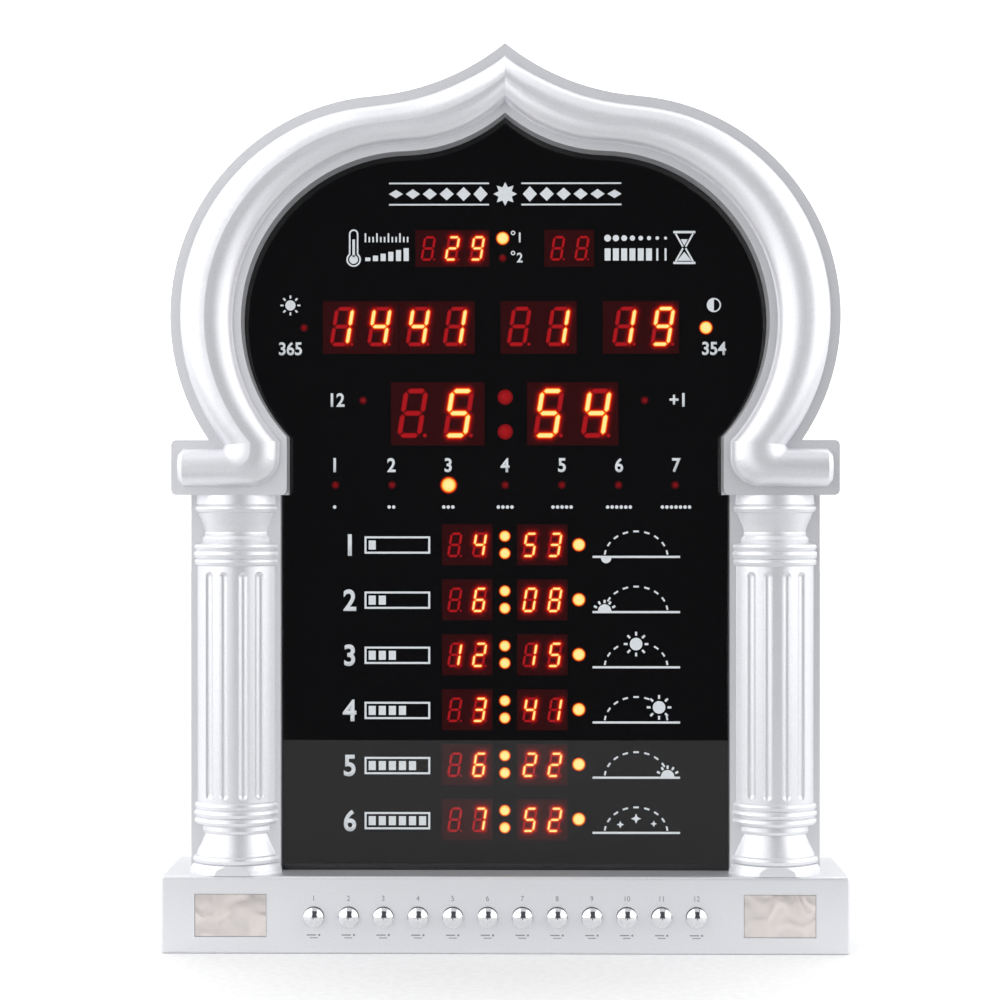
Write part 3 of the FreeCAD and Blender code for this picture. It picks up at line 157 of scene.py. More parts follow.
# %% Sprayed silver
silver, tree, shader, place = material(
    "silver_lacquered_abs", Metallic=0.58, IOR=1.5, Coat_Weight=0.2, Coat_Roughness=0.2)
flakes = add(tree, "ShaderNodeTexNoise", {"Vector": place, "Scale": per_metre(0.5), "Detail": 1.0})
peel = add(tree, "ShaderNodeTexNoise", {"Vector": place, "Scale": per_metre(3.0), "Detail": 2.0})
tone = ramp(tree, flakes.outputs["Fac"], [(0.3, srgb("#DCDDE1")), (0.7, srgb("#E7E8EC"))])
tree.links.new(tone, shader.inputs["Base Color"])
tree.links.new(spread(tree, peel.outputs["Fac"], 0.34, 0.42), shader.inputs["Roughness"])
relief(tree, shader, peel.outputs["Fac"], 0.02)
print("made", silver.name)

# %% [markdown]
# ## Polished foil and chrome
# The two small plates at the ends of the base carry a thin polished foil.
# Foil is never quite flat, so its reflections wander in slow waves a centimetre or two long.
# The caps of the buttons are chrome-plated ABS, nearly a mirror.

# %% Foil and chrome
foil, tree, shader, place = material("polished_foil", Metallic=1.0)
waves = add(tree, "ShaderNodeTexNoise", {
    "Vector": place, "Scale": per_metre(14.0), "Detail": 1.0, "Distortion": 1.2})
grain = add(tree, "ShaderNodeTexNoise", {"Vector": place, "Scale": per_metre(0.8), "Detail": 2.0})
tone = ramp(tree, waves.outputs["Fac"], [(0.3, srgb("#CFC9C7")), (0.7, srgb("#E4DDDA"))])
tree.links.new(tone, shader.inputs["Base Color"])
tree.links.new(spread(tree, grain.outputs["Fac"], 0.14, 0.24), shader.inputs["Roughness"])
relief(tree, shader, waves.outputs["Fac"], 0.35)

chrome, tree, shader, place = material("chrome_plated_abs", Metallic=1.0)
haze = add(tree, "ShaderNodeTexNoise", {"Vector": place, "Scale": per_metre(1.2), "Detail": 3.0})
tone = ramp(tree, haze.outputs["Fac"], [(0.3, srgb("#DADCE0")), (0.7, srgb("#ECEDEF"))])
tree.links.new(tone, shader.inputs["Base Color"])
tree.links.new(spread(tree, haze.outputs["Fac"], 0.04, 0.12), shader.inputs["Roughness"])
relief(tree, shader, haze.outputs["Fac"], 0.004)
print("made", foil.name, "and", chrome.name)

# %% [markdown]
# ## The smoked window
# The window is cast acrylic with a dark tint, polished on both sides.
# It refracts and mirrors as real acrylic does. Light from the digits loses most of its strength in it.
# What lies behind it is black, so the eye sees only what glows, and the room mirrored in its face.

# %% Tinted acrylic
WINDOW_TINT = "#8E8C8E"
acrylic, tree, shader, place = material("tinted_acrylic", Transmission_Weight=1.0, IOR=1.49)
shader.inputs["Base Color"].default_value = srgb(WINDOW_TINT)
polish = add(tree, "ShaderNodeTexNoise", {"Vector": place, "Scale": per_metre(25.0), "Detail": 2.0})
tree.links.new(spread(tree, polish.outputs["Fac"], 0.0, 0.006), shader.inputs["Roughness"])
print("made", acrylic.name)

# %% [markdown]
# ## The plain materials behind
# The rear cover is grey ABS with the fine spark texture of its mould.
# Inside are circuit boards with a black mask, epoxy lamps, steel screws, ferrite, paper and foam.
# They share one recipe: two close colours that a noise of the real grain size moves between,
# a roughness that wanders a little, and a relief as deep as the grain.

# %% A recipe for grained materials
def grained(name, dark, light, grain_mm, depth_mm, rough, **inputs):
    """A material whose colour, roughness and relief follow one grain."""
    made, tree, shader, place = material(name, **inputs)
    grain = add(tree, "ShaderNodeTexNoise", {"Vector": place, "Scale": per_metre(grain_mm), "Detail": 3.0})
    tone = ramp(tree, grain.outputs["Fac"], [(0.35, srgb(dark)), (0.65, srgb(light))])
    tree.links.new(tone, shader.inputs["Base Color"])
    tree.links.new(spread(tree, grain.outputs["Fac"], rough - 0.06, rough + 0.06), shader.inputs["Roughness"])
    relief(tree, shader, grain.outputs["Fac"], depth_mm)
    return made


finishes = {
    "silver_plastic": silver,
    "inlay_foil": foil,
    "chrome_plastic": chrome,
    "tinted_acrylic": acrylic,
    "foam_tape": grained("black_pe_foam", "#0C0C0D", "#1A1A1B", 0.4, 0.10, 0.92),
    "grey_plastic": grained("spark_textured_abs", "#7A7C80", "#888A8E", 0.6, 0.03, 0.55, IOR=1.5),
    "circuit_board": grained("black_solder_mask", "#050506", "#0B0B0D", 1.5, 0.01, 0.35, IOR=1.5),
    "display_red": grained("module_epoxy", "#120203", "#1C0304", 1.0, 0.01, 0.40, IOR=1.5),
    "led_epoxy": grained("diffused_red_epoxy", "#5A0508", "#76070B", 0.8, 0.01, 0.30, IOR=1.5),
    "chip_black": grained("chip_resin", "#141416", "#1E1E20", 0.3, 0.02, 0.60, IOR=1.5),
    "cell_steel": grained("nickelled_steel", "#B8B6B0", "#CCCAC4", 0.5, 0.005, 0.22, Metallic=1.0),
    "screw_steel": grained("zinc_plated_steel", "#9EA0A2", "#B9BABC", 0.4, 0.01, 0.32, Metallic=1.0),
    "speaker_steel": grained("pressed_steel", "#6E7073", "#85878A", 1.2, 0.01, 0.38, Metallic=1.0),
    "ferrite": grained("sintered_ferrite", "#232427", "#323337", 0.5, 0.03, 0.70),
    "paper_cone": grained("pressed_paper_pulp", "#17161A", "#28272B", 0.9, 0.05, 0.90),
    "ribbon_vinyl": grained("ribbon_pvc", "#8E9094", "#A9ABAF", 1.27, 0.03, 0.50, IOR=1.5),
}
print("made", len(finishes), "finishes for solid parts")

# %% Give every solid part its finish
for item in frame["record"]["subparts"]:
    part = frame["nodes"][item["node"]]
    part.data.materials.clear()
    part.data.materials.append(finishes[item["material_slot"]])

# %% [markdown]
# ## Light that glows by itself
# A lit segment is yellow in its middle and orange at its rim, because the camera is nearly blinded by it.
# Around it the red epoxy of the module lights up and fades within two millimetres.
# Each mesh carries one number per point, called glow, and the material turns it into a colour.
# The window takes most of the light away, so the strengths are raised by what it takes.

# %% Glowing materials
THROUGH_WINDOW = 4.0


def glowing(name, stops, strength, rough):
    """A material that shines in the colour of each point's glow."""
    made, tree, shader, place = material(name, Roughness=rough, IOR=1.5, Emission_Strength=strength)
    shader.inputs["Base Color"].default_value = srgb("#0A0102")
    glow = add(tree, "ShaderNodeAttribute", attribute_name="glow")
    tree.links.new(ramp(tree, glow.outputs["Fac"], stops), shader.inputs["Emission Color"])
    cloud = add(tree, "ShaderNodeTexNoise", {"Vector": place, "Scale": per_metre(0.7), "Detail": 2.0})
    tree.links.new(spread(tree, cloud.outputs["Fac"], rough - 0.05, rough + 0.05), shader.inputs["Roughness"])
    relief(tree, shader, cloud.outputs["Fac"], 0.004)
    return made


BLACK = srgb("#000000")
lit = glowing("lit_led_epoxy", [
    (0.0, srgb("#FF4404")), (0.35, srgb("#FF8C16")), (0.8, srgb("#FFD248")), (1.0, srgb("#FFF09A"))],
    THROUGH_WINDOW, 0.3)
spill = glowing("red_spill", [
    (0.0, BLACK), (0.12, srgb("#300102")), (0.5, srgb("#8C0404")), (1.0, srgb("#F02406"))],
    THROUGH_WINDOW, 0.4)
# The unlit bars and lamps get painted glow as well: their dull red is emission that stands in for room light
# on them, darker at the rim as painted shade.
unlit = glowing("unlit_led_painted_glow", [
    (0.0, srgb("#74060C")), (1.0, srgb("#A81218"))], THROUGH_WINDOW, 0.3)
dark_lamp_painted_glow = glowing("dark_led_painted_glow", [
    (0.0, srgb("#140102")), (0.4, srgb("#3A0205")), (1.0, srgb("#7A060C"))], THROUGH_WINDOW, 0.3)
dark_colon_painted_glow = glowing("unlit_colon_painted_glow", [
    (0.0, srgb("#4A0408")), (0.5, srgb("#86090F")), (1.0, srgb("#A01016"))], THROUGH_WINDOW, 0.3)
bloom = glowing("lamp_bloom", [
    (0.0, BLACK), (0.3, srgb("#5A0302")), (0.65, srgb("#F03A06")),
    (0.85, srgb("#FFB830")), (1.0, srgb("#FFEE90"))],
    THROUGH_WINDOW, 0.4)
print("made", lit.name, spill.name, unlit.name, dark_lamp_painted_glow.name, dark_colon_painted_glow.name, bloom.name)

# %% [markdown]
# ## Flat pieces from outlines
# Segments, printing and icons are all thin plates that face the viewer.
# A plate is an outline in X and Z, a depth in Y and a thickness, so one mesh function makes them all.
# Its front carries an inner ring where the glow rises from the rim to the middle.

# %% Plates
def polygon_area(points):
    """The signed area of an outline, positive when it runs anticlockwise."""
    return sum(a[0] * b[1] - b[0] * a[1] for a, b in zip(points, points[1:] + points[:1])) / 2


def object_from(name, mesh_maker, finish):
    """A mesh object made from a filled bmesh, riding on the housing."""
    mesh = bpy.data.meshes.new(name)
    mesh_maker.to_mesh(mesh)
    mesh_maker.free()
    mesh.materials.append(finish)
    made = bpy.data.objects.new(name, mesh)
    bpy.context.scene.collection.objects.link(made)
    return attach(made, BODY)


def plates(name, outlines, back, thick, finish, core=0.0):
    """Thin plates whose backs lie at a Y in millimetres. A core above 0 makes the glowing ring."""
    bm = bmesh.new()
    glow = bm.verts.layers.float.new("glow")
    front = back - thick
    for points in outlines:
        if polygon_area(points) < 0:
            points = points[::-1]
        rear = [bm.verts.new((x * MM, back * MM, z * MM)) for x, z in points]
        fore = [bm.verts.new((x * MM, front * MM, z * MM)) for x, z in points]
        count = len(points)
        for i in range(count):
            j = (i + 1) % count
            bm.faces.new((fore[i], rear[i], rear[j], fore[j]))
        bm.faces.new(rear[::-1])
        if core > 0:
            inner = [bm.verts.new((x * MM, front * MM, z * MM)) for x, z in core_outline(points, core)]
            for vert in inner:
                vert[glow] = 1.0
            for i in range(count):
                j = (i + 1) % count
                bm.faces.new((fore[i], fore[j], inner[j], inner[i]))
            bm.faces.new(inner)
        else:
            bm.faces.new(fore)
    bmesh.ops.recalc_face_normals(bm, faces=bm.faces)
    return object_from(name, bm, finish)


def core_outline(points, inset):
    """The outline moved inward by a width, corner by corner."""
    moved = []
    count = len(points)
    for i in range(count):
        before, here, after = points[i - 1], points[i], points[(i + 1) % count]
        first = Vector((here[0] - before[0], here[1] - before[1])).normalized()
        second = Vector((after[0] - here[0], after[1] - here[1])).normalized()
        inward = Vector((-first.y, first.x)) + Vector((-second.y, second.x))
        scale = inset / max(0.35, inward.length_squared / 2)
        moved.append((here[0] + inward.x * scale, here[1] + inward.y * scale))
    return moved


print("plate maker ready")

# %% [markdown]
# ## Seven-segment digits
# A digit has seven bars with pointed ends, lettered a to g from the top, and it leans by nine degrees.
# Stock modules have digits of 12.7, 20.3 and 25.4 mm, about half as wide as high.
# The thickness of a bar is a share of the digit's height, and its gap and the point are shares of that.
# Every bar is its own plate on the module's face: the lit ones shine and the others carry a painted dark red
# glow, darker at the rim as painted shade.

# %% Digit outlines
LEAN = math.tan(math.radians(9))
BAR_THICK, DIGIT_WIDE = 0.108, 0.50
BAR_GAP, DOT_RADIUS, DOT_ASIDE = 0.10, 0.42, 1.1
BARS = {"0": "abcdef", "1": "bc", "2": "abged", "3": "abgcd", "4": "fgbc", "5": "afgcd",
        "6": "afgedc", "7": "abc", "8": "abcdefg", "9": "abcdfg", " ": ""}


def bar_outlines(x, z, height):
    """The seven bars and the point of one digit, in millimetres, as outlines by letter."""
    thick = BAR_THICK * height
    half_wide = (DIGIT_WIDE * height - thick) / 2
    half_high = (height - thick) / 2
    corners = {
        "a": ((-half_wide, half_high), (half_wide, half_high)),
        "b": ((half_wide, half_high), (half_wide, 0)),
        "c": ((half_wide, 0), (half_wide, -half_high)),
        "d": ((-half_wide, -half_high), (half_wide, -half_high)),
        "e": ((-half_wide, 0), (-half_wide, -half_high)),
        "f": ((-half_wide, half_high), (-half_wide, 0)),
        "g": ((-half_wide, 0), (half_wide, 0)),
    }
    gap = BAR_GAP * thick
    made = {}
    for letter, (start, end) in corners.items():
        along = Vector((end[0] - start[0], end[1] - start[1]))
        length = along.length
        along.normalize()
        side = Vector((-along.y, along.x)) * thick / 2
        near, far = gap, length - gap
        line = [(near, 0), (near + thick / 2, -1), (far - thick / 2, -1), (far, 0),
                (far - thick / 2, 1), (near + thick / 2, 1)]
        points = []
        for run, across in line:
            u = start[0] + along.x * run + side.x * across
            v = start[1] + along.y * run + side.y * across
            points.append((x + u + v * LEAN, z + v))
        made[letter] = points
    dot_x = x + half_wide + DOT_ASIDE * thick - half_high * LEAN
    made["dot"] = [(dot_x + thick * DOT_RADIUS * math.cos(t * math.pi / 4),
                    z - half_high + thick * DOT_RADIUS * math.sin(t * math.pi / 4)) for t in range(8)]
    return made


# %% [markdown]
# The digits are listed module by module: the places of the digits, their height and what they read.
# A row shows an hour and a minute, and an unlit leading digit stays dark.

# %% Where the digits are and what they read
FACE_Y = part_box("hour_display")[0].y / MM
BAR_LIFT, LIT_THICK, DARK_THICK = 0.06, 0.12, 0.06
LIT_CORE, DARK_CORE = 0.022, 0.03
ROW_TOP, ROW_PITCH = 204.2, 28.04
ROW_READINGS = (" 453", " 608", "1215", " 341", " 622", " 752")
ROW_XS = (-25.7, -13.1, 12.6, 25.3)
DIGITS = {
    "temperature_display": ((-39.2, -26.9, -14.2), 355.3, 12.7, " 29"),
    "interval_display": ((26.7, 39.1), 355.3, 12.7, "  "),
    "year_display": ((-83.2, -64.1, -44.4, -25.6), 315.5, 20.3, "1441"),
    "month_display": ((7.1, 26.9), 315.5, 20.3, " 1"),
    "day_display": ((60.7, 80.3), 315.5, 20.3, "19"),
    "hour_display": ((-47.2, -23.7), 271.3, 25.4, " 5"),
    "minute_display": ((22.2, 46.4), 271.3, 25.4, "54"),
}
row_heights = [ROW_TOP - ROW_PITCH * index for index in range(6)]
for index, (height, reading) in enumerate(zip(row_heights, ROW_READINGS)):
    DIGITS["row_%d_display" % (index + 1)] = (ROW_XS, height, 12.7, reading)

lit_bars = {}
for node, (xs, z, height, reading) in DIGITS.items():
    shining, dark = [], []
    for x, figure in zip(xs, reading):
        for letter, outline in bar_outlines(x, z, height).items():
            (shining if letter in BARS[figure] else dark).append(outline)
    lit_bars[node] = shining
    if shining:
        piece = plates(node + "_lit_bars", shining, FACE_Y - BAR_LIFT, LIT_THICK, lit, core=LIT_CORE * height)
    # Dark bars carry painted glow: a dull red emission, darker at the rim as painted shade.
    piece = plates(node + "_dark_bars", dark, FACE_Y - BAR_LIFT, DARK_THICK, unlit, core=DARK_CORE * height)
print("lit bars:", sum(len(bars) for bars in lit_bars.values()))

# %% [markdown]
# ## The glow on the modules
# The face of a module is filled with red epoxy, which scatters the light of the lit bars.
# A fine grid covers each face, and every point knows how far the nearest lit bar is.
# The glow falls off with that distance, down to a faint painted red glow that the whole face keeps, standing
# in for the room light on it.

# %% Distance to the lit bars
GRID_MM = 0.6
FADE_MM = 0.75
# The least glow of the whole face: painted light that stands in for the room light on the module.
FACE_PAINTED_GLOW = 0.10
SHEET_LIFT = 0.03
SEARCH_MM = 4
FAR_AWAY = 9.0


def to_edge(px, pz, outline):
    """The distance from a point to an outline, 0 inside it."""
    inside = False
    best = 1e9
    for (ax, az), (bx, bz) in zip(outline, outline[1:] + outline[:1]):
        if (az > pz) != (bz > pz) and px < (bx - ax) * (pz - az) / (bz - az) + ax:
            inside = not inside
        dx, dz = bx - ax, bz - az
        t = max(0.0, min(1.0, ((px - ax) * dx + (pz - az) * dz) / (dx * dx + dz * dz)))
        best = min(best, math.hypot(px - ax - t * dx, pz - az - t * dz))
    return 0.0 if inside else best


def near_bars(px, pz, bars):
    """The distance to the nearest of several bars, or a far one when none is near."""
    return min((to_edge(px, pz, bar) for bar, reach in bars
                if abs(px - reach[0]) < reach[2] and abs(pz - reach[1]) < reach[3]), default=FAR_AWAY)


def glow_sheet(name, spans, bars):
    """A thin sheet with glowing points over the faces of a module."""
    reach = []
    for bar in bars:
        xs = [p[0] for p in bar]
        zs = [p[1] for p in bar]
        reach.append((bar, ((min(xs) + max(xs)) / 2, (min(zs) + max(zs)) / 2,
                            (max(xs) - min(xs)) / 2 + SEARCH_MM, (max(zs) - min(zs)) / 2 + SEARCH_MM)))
    bm = bmesh.new()
    glow = bm.verts.layers.float.new("glow")
    for x0, x1, z0, z1 in spans:
        columns = max(2, round((x1 - x0) / GRID_MM))
        rows = max(2, round((z1 - z0) / GRID_MM))
        grid = []
        for i in range(columns + 1):
            line = []
            for j in range(rows + 1):
                x = x0 + (x1 - x0) * i / columns
                z = z0 + (z1 - z0) * j / rows
                vert = bm.verts.new((x * MM, (FACE_Y - SHEET_LIFT) * MM, z * MM))
                vert[glow] = FACE_PAINTED_GLOW + (1 - FACE_PAINTED_GLOW) * math.exp(-near_bars(x, z, reach) / FADE_MM)
                line.append(vert)
            grid.append(line)
        for i in range(columns):
            for j in range(rows):
                bm.faces.new((grid[i][j], grid[i + 1][j], grid[i + 1][j + 1], grid[i][j + 1]))
    piece = object_from(name, bm, spill)


# %% [markdown]
# A module's own solid says where its face is, so each sheet is cut to it.
# Two modules side by side in one node get a sheet each, split in the middle or by a module's width.

# %% Cover the module faces
ROW_MODULE_WIDE, HALF_SEAM, SHEET_INSET = 25.9, 0.05, 0.1
for node in DIGITS:
    low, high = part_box(node)
    x0, x1, z0, z1 = low.x / MM, high.x / MM, low.z / MM, high.z / MM
    if node == "year_display":
        middle = (x0 + x1) / 2
        spans = [(x0, middle - HALF_SEAM, z0, z1), (middle + HALF_SEAM, x1, z0, z1)]
    elif node.startswith("row_"):
        spans = [(x0, x0 + ROW_MODULE_WIDE, z0, z1), (x1 - ROW_MODULE_WIDE, x1, z0, z1)]
    else:
        spans = [(x0, x1, z0, z1)]
    inset = [(a + SHEET_INSET, b - SHEET_INSET, c + SHEET_INSET, d - SHEET_INSET) for a, b, c, d in spans]
    glow_sheet(node + "_glow", inset, lit_bars[node])
print("covered the faces of", len(DIGITS), "modules")

# %% [markdown]
# ## The mask card
# Behind the window lies a card of matt black, and the modules and the lamps reach through it.
# It hides the board, so that only the tips of the lamps show when the clock is seen from the side.
# It reaches three millimetres past the opening at the sides and the top, and ends two above its foot.

# %% Mask card
MASK_Y = FACE_Y + 2.0
MASK_LAP, MASK_SHORT, MASK_THICK = 3.0, 2.0, 0.4
OPENING_HALF, OPENING_LOW = 113.5, 38.9
LOBE_X, LOBE_Z, LOBE_RADIUS, APEX_Z = 47.5, 317.0, 85.0, 421.2
side = OPENING_HALF + MASK_LAP
reach = LOBE_RADIUS + MASK_LAP
right = [(side, OPENING_LOW + MASK_SHORT)]
right += [(LOBE_X + reach * math.cos(math.radians(turn)), LOBE_Z + reach * math.sin(math.radians(turn)))
          for turn in range(-38, 73, 5)]
outline = right + [(0.0, APEX_Z + MASK_LAP)] + [(-x, z) for x, z in reversed(right)]
mask_card = plates("black_mask_card", [outline], MASK_Y + MASK_THICK, MASK_THICK,
                   grained("matt_black_card", "#060607", "#0C0C0D", 0.5, 0.02, 0.85))
print("mask card has", len(outline), "corners")

# %% [markdown]
# ## The round lamps
# The colons, the day lamps and the row lamps are round LEDs with domed tips.
# They are turned from a profile, with the small collar that a real LED has at its foot.
# Lit ones shine evenly up to the rim, and unlit ones carry a painted dark red glow, dimmer towards the rim as
# painted shade.
# They stand for the plain lamps of the CAD model.

# %% Lamps
BOARD_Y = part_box("hour_display")[1].y / MM


def lamps(name, places, radius, finish, fall=2, tip_y=FACE_Y):
    """Round LEDs from the board to a depth. A high fall keeps the rim bright."""
    bm = bmesh.new()
    glow = bm.verts.layers.float.new("glow")
    turns = 24
    profile = [(radius * 1.12, BOARD_Y), (radius * 1.12, BOARD_Y - 0.8), (radius, BOARD_Y - 1.0)]
    for step in range(7):
        angle = step * math.pi / 14
        profile.append((radius * math.cos(angle), tip_y + radius - radius * math.sin(angle)))
    for x, z in places:
        rings = []
        for r, y in profile:
            ring = []
            for k in range(turns):
                turn = 2 * math.pi * k / turns
                vert = bm.verts.new(((x + r * math.cos(turn)) * MM, y * MM, (z + r * math.sin(turn)) * MM))
                vert[glow] = max(0.0, 1.0 - (r / radius) ** fall)
                ring.append(vert)
            rings.append(ring)
        for lower, upper in zip(rings, rings[1:]):
            for k in range(turns):
                bm.faces.new((lower[k], lower[(k + 1) % turns], upper[(k + 1) % turns], upper[k]))
        tip = bm.verts.new((x * MM, tip_y * MM, z * MM))
        tip[glow] = 1.0
        for k in range(turns):
            bm.faces.new((rings[-1][k], rings[-1][(k + 1) % turns], tip))
        bm.faces.new(rings[0][::-1])
    bmesh.ops.recalc_face_normals(bm, faces=bm.faces)
    for face in bm.faces:
        face.smooth = True
    piece = object_from(name, bm, finish)
    return piece


ROW_COLON_X, ROW_COLON_STEP, ROW_LAMP_X = -0.2, 4.4, 37.6
COLON_RADIUS, HOUR_COLON_RADIUS, LAMP_RADIUS = 1.9, 4.4, 2.3
HOUR_COLON_PLACES = [(0.0, 279.6), (0.0, 261.9)]
EVEN_FALL = 40
DAY_PITCH, DAY_Z = 28.9, 234.7
LIT_DAY = 2
day_places = [((index - 3) * DAY_PITCH, DAY_Z) for index in range(7)]
colon_places = [(ROW_COLON_X, z + step) for z in row_heights for step in (-ROW_COLON_STEP, ROW_COLON_STEP)]
lit_places = [(ROW_LAMP_X, z) for z in row_heights] + [day_places[LIT_DAY], (102.4, 315.0), (-1.3, 360.7)]
dark_places = [place for index, place in enumerate(day_places) if index != LIT_DAY]
dark_places += [(-102.7, 315.0), (-72.6, 277.9), (71.1, 277.9), (-1.3, 350.5)]
row_colons = lamps("row_colon_lamps", colon_places, COLON_RADIUS, lit, fall=EVEN_FALL)
# The unlit colon lamps glow with painted dark red light, dimmer towards the rim as painted shade.
lamps("hour_colon_lamps", HOUR_COLON_PLACES, HOUR_COLON_RADIUS, dark_colon_painted_glow, tip_y=FACE_Y - 0.5)
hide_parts("colon_leds")
lit_lamps = lamps("lit_indicator_lamps", lit_places, LAMP_RADIUS, lit, fall=EVEN_FALL)
# The unlit indicator lamps glow with painted dark red light, dimmer towards the rim as painted shade.
lamps("dark_indicator_lamps", dark_places, LAMP_RADIUS, dark_lamp_painted_glow)
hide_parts("indicator_leds")
print("lamps:", len(colon_places) + len(HOUR_COLON_PLACES) + len(lit_places) + len(dark_places))

# %% [markdown]
# Each lit lamp throws a soft ring of light on the mask card around it, yellow at the lamp and red outside.
# The ring is a flat washer whose glow fades to nothing at its rim.

# %% Rings of light
def light_rings(name, places, radius, reach):
    """Flat washers round lamps, brightest at the lamp."""
    bm = bmesh.new()
    glow = bm.verts.layers.float.new("glow")
    turns, steps = 32, 8
    for x, z in places:
        rings = []
        for step in range(steps + 1):
            share = step / steps
            r = radius + (reach - radius) * share
            ring = []
            for k in range(turns):
                turn = 2 * math.pi * k / turns
                spot = (x + r * math.cos(turn), MASK_Y - SHEET_LIFT, z + r * math.sin(turn))
                vert = bm.verts.new([length * MM for length in spot])
                vert[glow] = 1 - share ** 2.2
                ring.append(vert)
            rings.append(ring)
        for inner, outer in zip(rings, rings[1:]):
            for k in range(turns):
                bm.faces.new((inner[k], inner[(k + 1) % turns], outer[(k + 1) % turns], outer[k]))
    piece = object_from(name, bm, bloom)


light_rings("row_colon_light", colon_places, 1.7, 3.3)
light_rings("indicator_light", [place for place in lit_places if place != day_places[LIT_DAY]], 2.1, 3.8)
light_rings("day_lamp_light", [day_places[LIT_DAY]], 2.1, 4.8)
print("rings of light:", len(colon_places) + len(lit_places))

# %% [markdown]
# ## Printing on the window
# Words on the real window are left out. Their places hold plain numbers and simple signs.
# The ink is a light grey screen print, 0.06 mm thick, slightly rough, on the face of the acrylic.
# Its edges are crisp, so every sign is a real plate and no picture is needed.

# %% Printing ink
ink = grained("screen_print_ink", "#C9CED2", "#DADFE3", 0.5, 0.004, 0.55, IOR=1.5)
grey_ink = grained("grey_pad_print", "#77787C", "#8B8C90", 0.4, 0.004, 0.55, IOR=1.5)
INK_MM = 0.06
WINDOW_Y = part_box("front_window")[0].y / MM
BASE_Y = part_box("base_housing")[0].y / MM


def disc(x, z, radius, count=28, start=0.0, end=360.0):
    """A round outline, or a sector of one when it doesn't go all the way."""
    full = abs(end - start) >= 360
    steps = count if full else count + 1
    turns = [math.radians(start + (end - start) * k / count) for k in range(steps)]
    return [(x + radius * math.cos(t), z + radius * math.sin(t)) for t in turns]


def ring_sign(x, z, outer, inner, start=0.0, end=359.0):
    """A ring, left open by a hair so that it stays one outline."""
    turns = [math.radians(start + (end - start) * k / 36) for k in range(37)]
    out = [(x + outer * math.cos(t), z + outer * math.sin(t)) for t in turns]
    back = [(x + inner * math.cos(t), z + inner * math.sin(t)) for t in reversed(turns)]
    return out + back


def bar_sign(x0, z0, x1, z1, width):
    """A straight stroke."""
    along = Vector((x1 - x0, z1 - z0)).normalized()
    nx, nz = -along.y * width / 2, along.x * width / 2
    return [(x0 + nx, z0 + nz), (x0 - nx, z0 - nz), (x1 - nx, z1 - nz), (x1 + nx, z1 + nz)]


def diamond(x, z, half_wide, half_high):
    """A four-pointed lozenge."""
    return [(x - half_wide, z), (x, z - half_high), (x + half_wide, z), (x, z + half_high)]


def star(x, z, outer, inner, points):
    """A star with that many points."""
    made = []
    for k in range(points * 2):
        r = outer if k % 2 == 0 else inner
        turn = math.pi / 2 + math.pi * k / points
        made.append((x + r * math.cos(turn), z + r * math.sin(turn)))
    return made


def sun(x, z, radius, rays=8):
    """A disc with separate rays."""
    made = [disc(x, z, radius)]
    for k in range(rays):
        turn = 2 * math.pi * k / rays
        c, s = math.cos(turn), math.sin(turn)
        made.append(bar_sign(x + c * radius * 1.35, z + s * radius * 1.35,
                             x + c * radius * 1.95, z + s * radius * 1.95, radius * 0.34))
    return made


def figures(name, entries, back, finish, bold):
    """Numbers as plates. An entry is (text, middle x, middle z, height)."""
    bm = bmesh.new()
    for text, x, z, height in entries:
        curve = bpy.data.curves.new(name + "_font", "FONT")
        curve.body = text
        curve.size = 1.0
        curve.offset = bold
        curve.align_x = "CENTER"
        source = bpy.data.objects.new(name + "_font", curve)
        bpy.context.scene.collection.objects.link(source)
        bpy.context.view_layer.update()
        mesh = bpy.data.meshes.new_from_object(source.evaluated_get(bpy.context.evaluated_depsgraph_get()))
        tall = [v.co.y for v in mesh.vertices]
        low, high = min(tall), max(tall)
        scale = height / (high - low)
        squeeze = scale * 0.92
        for vert in mesh.vertices:
            u, v = vert.co.x, vert.co.y
            vert.co = ((x + u * squeeze) * MM, back * MM, (z + (v - (low + high) / 2) * scale) * MM)
        bm.from_mesh(mesh)
        bpy.data.meshes.remove(mesh)
        bpy.data.objects.remove(source)
        bpy.data.curves.remove(curve)
    bmesh.ops.remove_doubles(bm, verts=bm.verts, dist=1e-7)
    bmesh.ops.recalc_face_normals(bm, faces=bm.faces)
    for face in bm.faces:
        face.normal_update()
        if face.normal.y > 0:
            face.normal_flip()
    grown = bmesh.ops.extrude_face_region(bm, geom=bm.faces[:])
    for item in grown["geom"]:
        if isinstance(item, bmesh.types.BMVert):
            item.co.y -= INK_MM * MM
    bmesh.ops.recalc_face_normals(bm, faces=bm.faces)
    return object_from(name, bm, finish)


print("printing tools ready")

# %% [markdown]
# Above the digits runs a plain geometric band: an eight-pointed star between two chains of lozenges.
# Below it are a thermometer with a scale beside it, and an hourglass with a row of dots that run out.

# %% The ornament and the upper signs
ORNAMENT_Z = 382.5
LINE_LIFT, LINE_START, LINE_END = 5.4, 8.2, 59.0
signs = [star(0, ORNAMENT_Z, 6.0, 3.6, 8)]
for side in (-1, 1):
    for k in range(6):
        x = side * (12.5 + 8.6 * k)
        signs.append(diamond(x, ORNAMENT_Z, 3.6, 3.9 - 0.35 * k))
    for z in (ORNAMENT_Z - LINE_LIFT, ORNAMENT_Z + LINE_LIFT):
        signs.append(bar_sign(side * LINE_START, z, side * LINE_END, z, 0.8))
piece = plates("ornament_print", signs, WINDOW_Y, INK_MM, ink)

